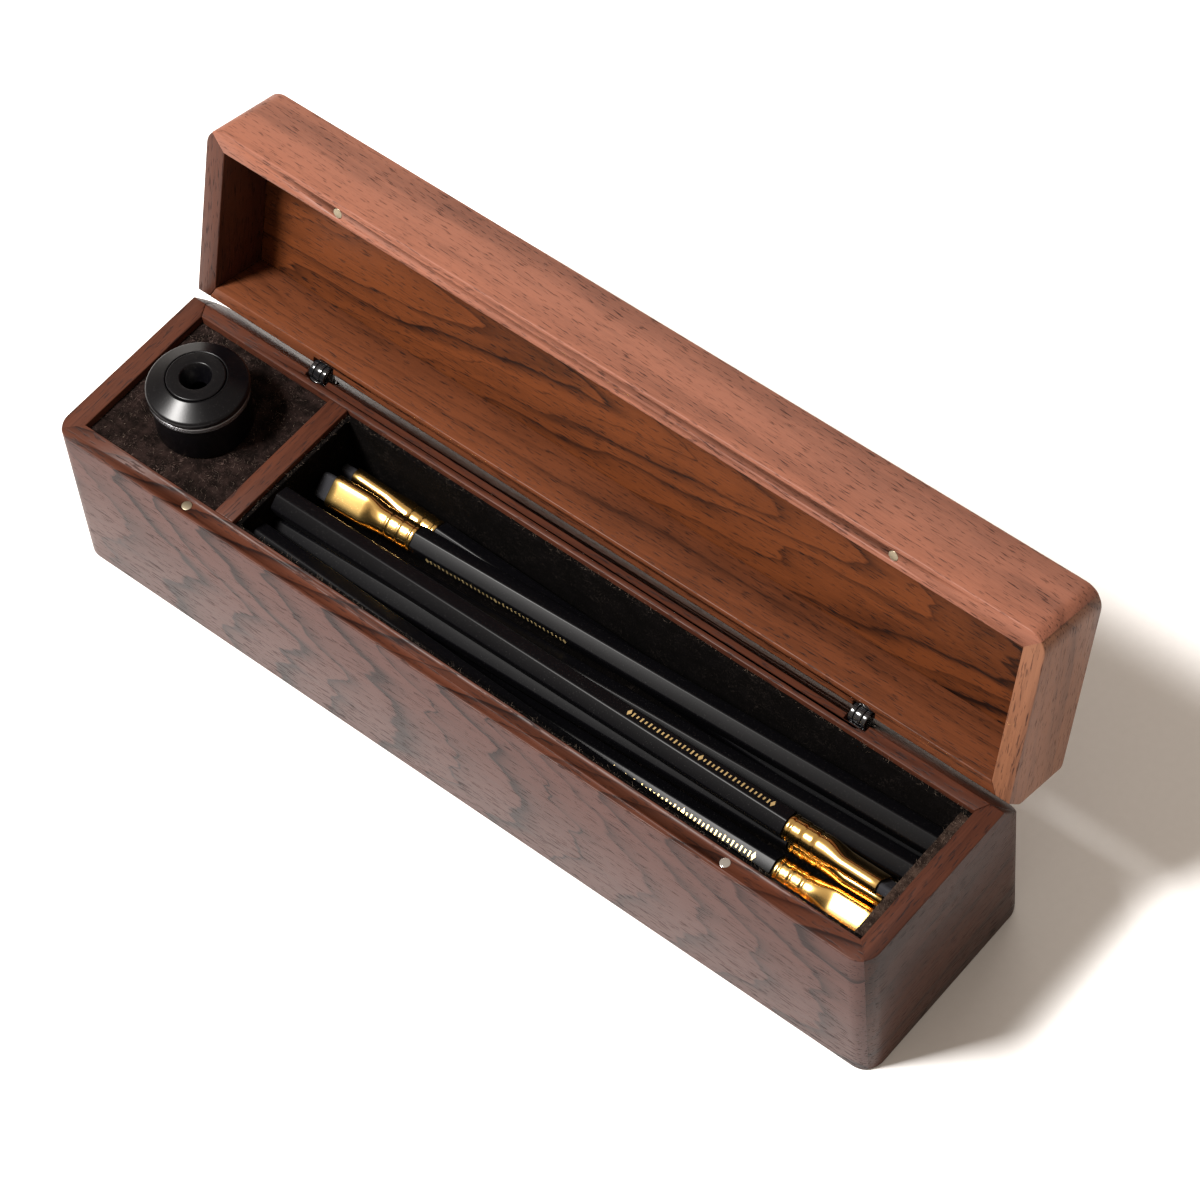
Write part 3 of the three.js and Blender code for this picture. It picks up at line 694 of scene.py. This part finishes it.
def fibre_pattern(length, radius, joints=5):
    """One curled fibre that grows from the origin along +Z, as a mesh in metres."""
    bm = bmesh.new()
    bmesh.ops.create_circle(bm, segments=3, radius=radius, cap_ends=True)
    tip = bm.faces[:]
    lean = Vector((dice.uniform(-0.5, 0.5), dice.uniform(-0.5, 0.5), 1.0)).normalized()
    for joint in range(joints):
        grown = bmesh.ops.extrude_face_region(bm, geom=tip)
        verts = [item for item in grown["geom"] if isinstance(item, bmesh.types.BMVert)]
        if joint:
            bmesh.ops.delete(bm, geom=tip, context="FACES_ONLY")
        tip = [item for item in grown["geom"] if isinstance(item, bmesh.types.BMFace)]
        lean = (lean + Vector((dice.uniform(-0.7, 0.7), dice.uniform(-0.7, 0.7), 0.0))).normalized()
        bmesh.ops.translate(bm, verts=verts, vec=lean * length / joints)
        middle = sum((vert.co for vert in verts), Vector()) / len(verts)
        bmesh.ops.scale(bm, verts=verts, vec=(0.85,) * 3, space=Matrix.Translation(-middle))
    mesh = bpy.data.meshes.new("fibre pattern")
    bm.to_mesh(mesh)
    bm.free()
    return mesh


patterns = [fibre_pattern(dice.uniform(0.8, 2.4) * MM, dice.uniform(0.022, 0.042) * MM) for _ in range(14)]


def plant_fibres(name, count, low, high, spread, body="base"):
    """Plants fibres at random places in a box; spread is how far they lean over, in degrees."""
    bm = bmesh.new()
    for _ in range(count):
        before = len(bm.verts)
        bm.from_mesh(dice.choice(patterns))
        bm.verts.ensure_lookup_table()
        fresh = bm.verts[before:]
        place = Vector([dice.uniform(a, b) for a, b in zip(low, high)]) * MM
        lean = Matrix.Rotation(math.radians(dice.uniform(0.2, 1.0) * spread), 4, "X")
        turn = Matrix.Rotation(dice.uniform(0, math.tau), 4, "Z")
        bmesh.ops.transform(bm, matrix=Matrix.Translation(place) @ turn @ lean, verts=fresh)
    return finish_piece(bm, name, fibre_felt, body)


plant_fibres("fibres_front_liner", 420, (-78.0, -26.4, 52.7), (131.6, -25.1, 53.0), 80)
plant_fibres("fibres_back_liner", 320, (-78.0, 18.6, 52.7), (131.6, 19.9, 53.0), 80)
plant_fibres("fibres_left_liner", 90, (-78.0, -25.0, 52.7), (-76.7, 18.4, 53.0), 80)
plant_fibres("fibres_right_liner", 120, (128.6, -25.0, 52.7), (131.5, 18.4, 53.0), 80)
plant_fibres("fibres_sharpener_pad", 700, (-131.4, -26.2, 52.05), (-84.6, 19.7, 52.2), 95)
print("fibres planted")

# %% [markdown]
# ## Pencils
# Each pencil is a hexagonal cedar barrel in matte black lacquer, with a soft dark lead, a gold
# ferrule that is pressed flat at its end, and a flat grey eraser that slides into it. A pencil is
# modelled lying along X in millimetres and is then laid in its place in the tray. The barrel is an
# extruded hexagon whose edges are bevelled. The ferrule is a ring that is extruded step by step, and
# each step is shaped to the ferrule's section there.

# %% Sizes and places of the pencils
PENCIL_LENGTH = 203.0
FLATS = 7.4
FERRULE_LENGTH = 29.0
ERASER_PROUD = 4.5
FERRULE_START = PENCIL_LENGTH - ERASER_PROUD - FERRULE_LENGTH
FERRULE_END = PENCIL_LENGTH - ERASER_PROUD
LEFT_STOP, RIGHT_STOP = -76.2, 128.2
SPARE = (RIGHT_STOP - LEFT_STOP - PENCIL_LENGTH) / 2

# name: which end the ferrule is at, the axis (y, z) at the left and the right, the turn of the
# hexagon, the turn of the ferrule's flat
PENCILS = {
    "pencil_1": (-1, (12.6, 36.5), (12.5, 30.2), 8, 90),
    "pencil_2": (-1, (3.4, 41.8), (12.7, 42.2), 8, 36),
    "pencil_3": (-1, (-5.0, 35.0), (5.0, 37.6), 8, 90),
    "pencil_4": (1, (-10.9, 49.5), (-6.2, 44.2), 15, -45),
    "pencil_5": (1, (-13.3, 40.0), (-3.4, 35.9), 8, -10),
    "pencil_6": (1, (-20.9, 44.3), (-20.9, 32.9), 8, 90),
    "pencil_7": (1, (-16.2, 28.2), (-12.2, 32.4), 0, 29),
}


def pencil_lie(side, left, right):
    """Takes a pencil made along X in millimetres to its place in the tray, in metres."""
    ends = [Vector((LEFT_STOP, *left)), Vector((RIGHT_STOP, *right))]
    bare, head = ends if side > 0 else ends[::-1]
    along = (head - bare).normalized()
    aside = Vector((0, 0, 1)).cross(along).normalized()
    upward = along.cross(aside)
    turn = Matrix((along, aside, upward)).transposed().to_4x4()
    return Matrix.Scale(MM, 4) @ Matrix.Translation(bare + along * SPARE) @ turn


# %% Finishes of the pencils
black_lacquer = coated(
    "black lacquer", rgb(0.0014, 0.0013, 0.0018), GREY_DUST, 0.0, 0.38, 0.06, 0.04, 1500.0, 0.12,
    Specular_IOR_Level=0.15,
)
gold = coated(
    "gold ferrule", rgb(0.93, 0.60, 0.20), rgb(0.5, 0.4, 0.2), 1.0, 0.19, 0.10, 0.1, 700.0, 0.12
)
gold_foil = coated(
    "gold foil", rgb(1.0, 0.78, 0.38), rgb(0.5, 0.35, 0.2), 1.0, 0.55, 0.2, 0.2, 4000.0, 0.5
)
grey_eraser = coated(
    "grey eraser", rgb(0.016, 0.016, 0.019), rgb(0.12, 0.12, 0.12), 0.0, 0.72, 0.15, 0.35, 1900.0, 0.8,
    Specular_IOR_Level=0.15,
)
graphite = coated(
    "graphite", rgb(0.03, 0.03, 0.033), rgb(0.1, 0.1, 0.1), 0.2, 0.38, 0.1, 0.2, 3000.0, 0.6
)
cedar, net, shader = new_material("cut cedar")
point = net.add("ShaderNodeTexCoord").outputs["Object"]
rays = net.noise(net.vector("MULTIPLY", point, (900.0, 900.0, 2600.0)), detail=3.0)
net.tree.links.new(
    net.mix(net.ramp(rays, 0.35, 0.7), rgb(0.50, 0.26, 0.13), rgb(0.30, 0.13, 0.06)),
    shader.inputs["Base Color"],
)
shader.inputs["Roughness"].default_value = 0.75

# %% Barrels, cedar ends and leads
TO_X = Matrix(((0, 0, 1, 0), (1, 0, 0, 0), (0, 1, 0, 0), (0, 0, 0, 1)))
LACQUER = 0.28
END_STEP = 0.25
END_EDGE = 0.12
CORNER_ROUNDING = 0.45
BARREL_GAP = 0.3  # between the barrel and the ferrule's edge
ERASER_ROUNDING = 1.05


def hexagon_bar(flats, length, rounding):
    """A six-sided bar along +X from the origin, a corner up, with its long edges rounded."""
    bm = bmesh.new()
    bmesh.ops.create_circle(bm, segments=6, radius=flats / math.sqrt(3), cap_ends=True)
    grown = bmesh.ops.extrude_face_region(bm, geom=bm.faces[:])
    verts = [item for item in grown["geom"] if isinstance(item, bmesh.types.BMVert)]
    bmesh.ops.translate(bm, verts=verts, vec=(0, 0, length))
    long_edges = [edge for edge in bm.edges if (edge.verts[0].co - edge.verts[1].co).xy.length < 1e-4]
    bmesh.ops.bevel(
        bm, geom=long_edges, offset=rounding, offset_type="OFFSET", affect="EDGES", segments=5,
        profile=0.5, material=-1,
    )
    bmesh.ops.recalc_face_normals(bm, faces=bm.faces)
    bmesh.ops.transform(bm, matrix=TO_X, verts=bm.verts)
    return bm


def end_face(bm):
    return [face for face in bm.faces if face.normal.x < -0.9]


def lacquered_barrel():
    """The barrel, with a shallow step at its bare end where the lacquer stops at the wood."""
    bm = hexagon_bar(FLATS, FERRULE_START - BARREL_GAP, CORNER_ROUNDING)
    bm.normal_update()
    rim = list(end_face(bm)[0].edges)
    bmesh.ops.bevel(
        bm, geom=rim, offset=END_EDGE, offset_type="OFFSET", affect="EDGES", segments=2, profile=0.5,
        material=-1,
    )
    bm.normal_update()
    bare = sorted(end_face(bm), key=lambda face: -face.calc_area())[:1]
    bmesh.ops.inset_region(bm, faces=bare, thickness=LACQUER - END_EDGE, use_even_offset=True)
    pushed = bmesh.ops.extrude_face_region(bm, geom=bare)
    bmesh.ops.delete(bm, geom=bare, context="FACES_ONLY")
    verts = [item for item in pushed["geom"] if isinstance(item, bmesh.types.BMVert)]
    bmesh.ops.translate(bm, verts=verts, vec=(END_STEP, 0, 0))
    return bm


def cedar_end():
    """The disc of wood that shows inside the lacquer, a little below its edge."""
    bm = hexagon_bar(FLATS - 2 * LACQUER - 0.04, 0.16, 0.4)
    bmesh.ops.translate(bm, verts=bm.verts, vec=(0.06, 0, 0))
    return bm


def lead_end():
    """The end of the lead, a hair proud of the wood."""
    bm = bmesh.new()
    bmesh.ops.create_cone(bm, cap_ends=True, segments=32, radius1=1.06, radius2=1.06, depth=0.03)
    bmesh.ops.transform(bm, matrix=Matrix.Translation((0.045, 0, 0)) @ TO_X, verts=bm.verts)
    return bm


# %% [markdown]
# ### Ferrule
# Where it grips the wood the ferrule is round, with three raised beads and a fine groove after each.
# Then it swells into a shoulder and is pressed to a flat oval whose faces are nearly plane. The
# section at each step is a circle or oval that is softly clipped by two planes, which is just what
# pressing does.

# %% Ferrule
BAND_LENGTH = 11.0
PRESS_LENGTH = 7.0
BAND_RADIUS = 3.95
FLAT_WIDTH, FLAT_THICKNESS = 9.2, 4.6
FLAT_OVAL = 0.84  # the oval's height where it is pressed flat, in band radii
BAND_CLIP = 1.02  # where the clipping planes start, in band radii
CLIP_SHARPNESS = 7.0
FERRULE_SIDES = 56
ERASER_WIDTH, ERASER_THICKNESS = 7.4, 3.0

# distance from the wood's end of the ferrule, and how far the surface is under the bead's top
BAND_STEPS = (
    (0.0, 0.40), (0.1, 0.16), (0.35, 0.02), (0.8, 0.0), (1.15, 0.05), (1.35, 0.24), (1.6, 0.27),
    (1.8, 0.15), (2.3, 0.10), (3.3, 0.10), (3.7, 0.02), (4.1, 0.0), (4.6, 0.02), (4.9, 0.22),
    (5.15, 0.27), (5.4, 0.14), (6.0, 0.09), (7.0, 0.09), (7.4, 0.02), (7.9, 0.0), (8.4, 0.03),
    (8.7, 0.22), (8.95, 0.27), (9.2, 0.14), (9.8, 0.06), (10.5, 0.03),
)


def smoothstep(value, low, high):
    t = min(max((value - low) / (high - low), 0.0), 1.0)
    return t * t * (3 - 2 * t)


def section(along, angle, drop):
    """A point of the ferrule's skin: how far along, at what angle, and how far under the skin."""
    pressed = smoothstep(along, BAND_LENGTH, BAND_LENGTH + PRESS_LENGTH)
    wide = BAND_RADIUS + (FLAT_WIDTH / 2 - BAND_RADIUS) * pressed
    tall = BAND_RADIUS + (FLAT_OVAL * BAND_RADIUS - BAND_RADIUS) * pressed
    half = BAND_RADIUS * BAND_CLIP + (FLAT_THICKNESS / 2 - BAND_RADIUS * BAND_CLIP) * pressed
    y = (wide - drop) * math.cos(angle)
    z = (tall - drop) * math.sin(angle)
    limit = half - drop
    z = z / (1.0 + (abs(z) / limit) ** CLIP_SHARPNESS) ** (1.0 / CLIP_SHARPNESS)
    return y, z


def ferrule_skin():
    """The ferrule, from inside its grip on the wood, along its skin, and back into its mouth."""
    bm = bmesh.new()
    bmesh.ops.create_circle(bm, segments=FERRULE_SIDES, radius=1.0)
    bmesh.ops.transform(bm, matrix=TO_X, verts=bm.verts)
    bm.verts.ensure_lookup_table()
    angles = [math.atan2(vert.co.z, vert.co.y) for vert in bm.verts]
    loop = bm.edges[:]
    ring = bm.verts[:]

    steps = list(BAND_STEPS)
    steps += [(BAND_LENGTH + PRESS_LENGTH * k / 12, 0.0) for k in range(13)]
    flat_start = BAND_LENGTH + PRESS_LENGTH
    steps += [(flat_start + (FERRULE_LENGTH - 0.25 - flat_start) * k / 5, 0.0) for k in range(1, 6)]
    steps += [(FERRULE_LENGTH - 0.08, 0.06), (FERRULE_LENGTH, 0.2), (FERRULE_LENGTH - 0.05, 0.42)]
    steps += [(FERRULE_LENGTH - 0.4, 0.48), (FERRULE_LENGTH - 1.6, 0.5)]

    def shape(verts, at, drop):
        for vert, angle in zip(verts, angles):
            y, z = section(at, angle, drop)
            vert.co = Vector((FERRULE_START + at, y, z))

    shape(ring, 0.35, 0.75)
    for vert in ring:
        vert.co.x = FERRULE_START + 0.3
    for at, drop in steps:
        grown = bmesh.ops.extrude_edge_only(bm, edges=loop)["geom"]
        fresh = [item for item in grown if isinstance(item, bmesh.types.BMVert)]
        loop = [item for item in grown if isinstance(item, bmesh.types.BMEdge) and item.is_boundary]
        loop = [edge for edge in loop if edge.verts[0] in fresh and edge.verts[1] in fresh]
        shape(fresh, at, drop)
    bmesh.ops.holes_fill(bm, edges=[edge for edge in bm.edges if edge.is_boundary])
    bmesh.ops.recalc_face_normals(bm, faces=bm.faces)
    return bm


def eraser_block():
    """A flat eraser with well-rounded edges, from inside the ferrule to the pencil's end."""
    start = FERRULE_END - 1.5
    length = PENCIL_LENGTH - start
    bm = bmesh.new()
    size = (length, ERASER_WIDTH, ERASER_THICKNESS)
    bmesh.ops.create_cube(bm, size=1.0)
    bmesh.ops.scale(bm, vec=size, verts=bm.verts)
    bmesh.ops.translate(bm, vec=(start + length / 2, 0, 0), verts=bm.verts)
    bmesh.ops.bevel(
        bm, geom=bm.edges[:], offset=ERASER_ROUNDING, offset_type="OFFSET", affect="EDGES", segments=6,
        profile=0.5, material=-1,
    )
    return bm


# %% [markdown]
# ### Gold line on the barrels
# A pencil of this kind is stamped in gold foil along one face. Here it is a plain ornament: three
# lozenges with rows of short strokes between them.

# %% Foil ornament
STROKE_HEIGHT = 2.3
STROKE_STEP = 1.35
STROKE_HALF_WIDTH = 0.34
LOZENGE_HALF_WIDTH = 0.62
FOIL_THICKNESS = 0.015
FOIL_CLEAR = 0.002
FOIL_LENGTH = 47.0
FOIL_FROM_FERRULE = 52.0


def foil_ornament(start, length, face_turn):
    """Thin foil shapes on one face of the hexagon; face_turn is the face's angle about the axis."""
    bm = bmesh.new()
    count = int(length / STROKE_STEP)
    for k in range(count + 1):
        made = bmesh.ops.create_circle(bm, segments=4, radius=1.0, cap_ends=True)["verts"]
        if k in (0, count // 2, count):
            shape = (LOZENGE_HALF_WIDTH, STROKE_HEIGHT * 0.55, 1.0)
            twist = 0.0
        else:
            shape = (STROKE_HALF_WIDTH, STROKE_HEIGHT * (0.48 if k % 2 else 0.32), 1.0)
            twist = math.pi / 4
        bmesh.ops.rotate(bm, verts=made, cent=(0, 0, 0), matrix=Matrix.Rotation(twist, 3, "Z"))
        bmesh.ops.scale(bm, verts=made, vec=shape)
        bmesh.ops.translate(bm, verts=made, vec=(start + k * STROKE_STEP, 0, 0))
    grown = bmesh.ops.extrude_face_region(bm, geom=bm.faces[:])
    verts = [item for item in grown["geom"] if isinstance(item, bmesh.types.BMVert)]
    bmesh.ops.translate(bm, verts=verts, vec=(0, 0, FOIL_THICKNESS))
    bmesh.ops.translate(bm, verts=bm.verts, vec=(0, 0, FLATS / 2 + FOIL_CLEAR))
    turn = Matrix.Rotation(math.radians(face_turn), 4, "X")
    bmesh.ops.transform(bm, matrix=turn, verts=bm.verts)
    return bm


# which face of the hexagon carries the foil, in degrees about the axis from straight up
FOIL = {"pencil_7": 30.0, "pencil_4": -30.0, "pencil_2": -90.0}

# %% Lay the pencils
for name, (side, left, right, roll, flat_roll) in PENCILS.items():
    lie = pencil_lie(side, left, right)
    barrel_turn = lie @ Matrix.Rotation(math.radians(roll * side), 4, "X")
    flat_turn = lie @ Matrix.Rotation(math.radians(flat_roll * side), 4, "X")
    pieces = [
        ("lacquer_barrel", lacquered_barrel(), black_lacquer, barrel_turn, "pencil_black", ("barrel",)),
        ("cedar_end", cedar_end(), cedar, barrel_turn, "pencil_black", ()),
        ("lead_end", lead_end(), graphite, barrel_turn, "pencil_black", ()),
        ("gold_ferrule", ferrule_skin(), gold, flat_turn, "ferrule_gold", ("ferrule",)),
        ("grey_eraser", eraser_block(), grey_eraser, flat_turn, "eraser_grey", ("eraser",)),
    ]
    if name in FOIL:
        ornament = foil_ornament(FERRULE_START - FOIL_FROM_FERRULE, FOIL_LENGTH, FOIL[name])
        pieces.append(("foil_line", ornament, gold_foil, barrel_turn, "ferrule_gold", ()))
    for part, bm, material, place, slot, stands_for in pieces:
        bmesh.ops.transform(bm, matrix=place, verts=bm.verts)
        replaced = tuple(f"{name}_{node}" for node in stands_for)
        finish_piece(bm, f"{name}_{part}", material, name, replaced, smooth=38.0)
print("pencils laid:", len(PENCILS))

# %% [markdown]
# ## Sharpener
# The sharpener is turned from aluminium and anodised satin black: a plain cup that takes the
# shavings, a thin knurled ring, and a cap that slopes down from the sharpener's own disc to a rounded
# rim. Turned parts are spun from half of their outline. The knurl is a ring whose every other face is
# pushed in.

# %% Sharpener finishes
SHARPENER = Vector((-108.2, -4.4, 52.3))
black_anodised = coated(
    "black anodised", rgb(0.0014, 0.0013, 0.0019), GREY_DUST, 0.0, 0.30, 0.08, 0.05, 1300.0, 0.2,
    Specular_IOR_Level=0.22,
)
bright_ring = coated(
    "knurled ring", rgb(0.22, 0.22, 0.23), GREY_DUST, 0.9, 0.3, 0.2, 0.2, 1500.0, 0.2
)
blade_steel = coated(
    "blade steel", rgb(0.7, 0.69, 0.66), GREY_DUST, 1.0, 0.22, 0.15, 0.05, 1200.0, 0.3
)


def turned(outline, closed=True, steps=112):
    """Spins an outline of (radius, height) points about the sharpener's axis into a closed skin."""
    bm = bmesh.new()
    verts = [bm.verts.new((radius, 0, height)) for radius, height in outline]
    edges = [bm.edges.new(pair) for pair in zip(verts, verts[1:])]
    if closed:
        edges.append(bm.edges.new((verts[-1], verts[0])))
    bmesh.ops.spin(
        bm, geom=verts + edges, cent=(0, 0, 0), axis=(0, 0, 1), dvec=(0, 0, 0), angle=math.tau,
        steps=steps, use_merge=True, use_duplicate=False,
    )
    bmesh.ops.remove_doubles(bm, verts=bm.verts, dist=1e-4)
    bmesh.ops.recalc_face_normals(bm, faces=bm.faces)
    return bm


def place_sharpener(bm):
    matrix = Matrix.Scale(MM, 4) @ Matrix.Translation(SHARPENER)
    bmesh.ops.transform(bm, matrix=matrix, verts=bm.verts)
    return bm


def arc(centre, radius, start, end, steps):
    """Points on an arc of an outline, from one angle to another in degrees."""
    turns = [math.radians(start + (end - start) * k / steps) for k in range(steps + 1)]
    return [(centre[0] + radius * math.cos(t), centre[1] + radius * math.sin(t)) for t in turns]


# %% Cup and knurled ring
KNURL_DEPTH = 0.14

cup = turned(
    [(0.0, 0.0), *arc((12.6, 0.8), 0.8, -90, 0, 5), (13.4, 11.3), *arc((13.1, 11.5), 0.3, 0, 90, 3),
     (12.1, 11.8), (12.1, 1.5), (0.0, 1.5)],
    closed=False,
)
finish_piece(place_sharpener(cup), "turned_cup", black_anodised, "sharpener_body",
             ("sharpener_cup",), smooth=35.0)

ring = turned(
    [(12.1, 12.1), *arc((13.7, 12.35), 0.25, -90, 0, 3), (13.95, 12.75), (13.95, 13.35),
     *arc((13.7, 13.55), 0.25, 0, 90, 3), (12.1, 13.8)],
    steps=220,
)
ring.normal_update()


def is_knurled(face):
    """Whether a face of the ring is on its outer band."""
    middle = face.calc_center_median()
    return 12.7 < middle.z < 13.4 and middle.xy.length > 13.0 and face.normal.xy.length > 0.9


def face_angle(face):
    middle = face.calc_center_median()
    return math.atan2(middle.y, middle.x)


knurl = sorted((face for face in ring.faces if is_knurled(face)), key=face_angle)
for face in knurl[::2]:
    pushed = bmesh.ops.extrude_discrete_faces(ring, faces=[face])["faces"]
    inward = pushed[0].normal * -KNURL_DEPTH
    bmesh.ops.translate(ring, verts=pushed[0].verts[:], vec=inward)
finish_piece(place_sharpener(ring), "knurled_ring", bright_ring, "sharpener_body",
             ("sharpener_collar",), smooth=35.0)
print("knurl teeth:", len(knurl) // 2)

# %% Cap, disc and blade
cap = turned(
    [(8.32, 7.0), (11.8, 7.0), (11.8, 14.1), (13.5, 14.1), *arc((13.55, 14.75), 0.65, -90, 10, 5),
     *arc((12.95, 15.2), 1.25, 15, 66, 7), (8.75, 18.75), *arc((8.65, 18.6), 0.3, 70, 150, 3),
     (8.32, 18.4)],
)
finish_piece(place_sharpener(cap), "turned_cap", black_anodised, "sharpener_top",
             ("sharpener_head",), smooth=30.0)

bm = merged_copy("sharpener_core")
ease_edges(bm, 0.12 * MM, segments=2, sharper_than=40.0)
finish_piece(bm, "turned_disc", black_anodised, "sharpener_top",
             ("sharpener_core",), smooth=30.0)
bm = merged_copy("sharpener_blade")
ease_edges(bm, 0.08 * MM, segments=2)
finish_piece(bm, "ground_blade", blade_steel, "sharpener_top",
             ("sharpener_blade",), smooth=30.0)
print("sharpener made")

# %% [markdown]
# ## The floor and the light
# The box stands on a white floor that is lit past white. The main light comes from the left front,
# fairly high and fairly small, so it throws the shadow to the right. A weak wide light low at the
# left back and a warm even fill open the shadows.

# %% Floor and light
FLOOR_REACH = 3.0
FLOOR_GAP = 0.3 * MM
floor_material, net, shader = new_material("white floor")
point = net.add("ShaderNodeTexCoord").outputs["Object"]
paper = net.noise(point, scale=420.0, detail=3.0)
white = net.mix(paper, rgb(0.84, 0.83, 0.82), rgb(0.88, 0.87, 0.86))
net.tree.links.new(white, shader.inputs["Base Color"])
shader.inputs["Roughness"].default_value = 0.7
bm = bmesh.new()
bmesh.ops.create_grid(bm, x_segments=4, y_segments=4, size=FLOOR_REACH)
bmesh.ops.translate(bm, verts=bm.verts, vec=(0, 0, -FLOOR_GAP))
floor_mesh = bpy.data.meshes.new("floor")
bm.to_mesh(floor_mesh)
bm.free()
floor_mesh.materials.append(floor_material)
floor = bpy.data.objects.new("floor", floor_mesh)
bpy.context.scene.collection.objects.link(floor)


def area_light(name, toward, distance, size, power, colour):
    """An area light that shines at the box from a direction."""
    data = bpy.data.lights.new(name, "AREA")
    data.shape = "RECTANGLE"
    data.size, data.size_y = size
    data.energy = power
    data.color = colour
    light = bpy.data.objects.new(name, data)
    bpy.context.scene.collection.objects.link(light)
    direction = Vector(toward).normalized()
    light.location = direction * distance
    light.rotation_euler = direction.to_track_quat("Z", "Y").to_euler()


area_light("main light", (-0.380, -0.49, 1.0), 1.8, (0.36, 0.36), 68.0, (1.0, 0.975, 0.95))
area_light("back light", (-0.407, 0.769, 0.494), 1.6, (1.1, 0.5), 4.5, (1.0, 0.93, 0.85))
world = bpy.data.worlds.new("studio")
bpy.context.scene.world = world
world.use_nodes = True
world.node_tree.nodes["Background"].inputs["Color"].default_value = rgb(1.0, 0.85, 0.71)
world.node_tree.nodes["Background"].inputs["Strength"].default_value = 0.42
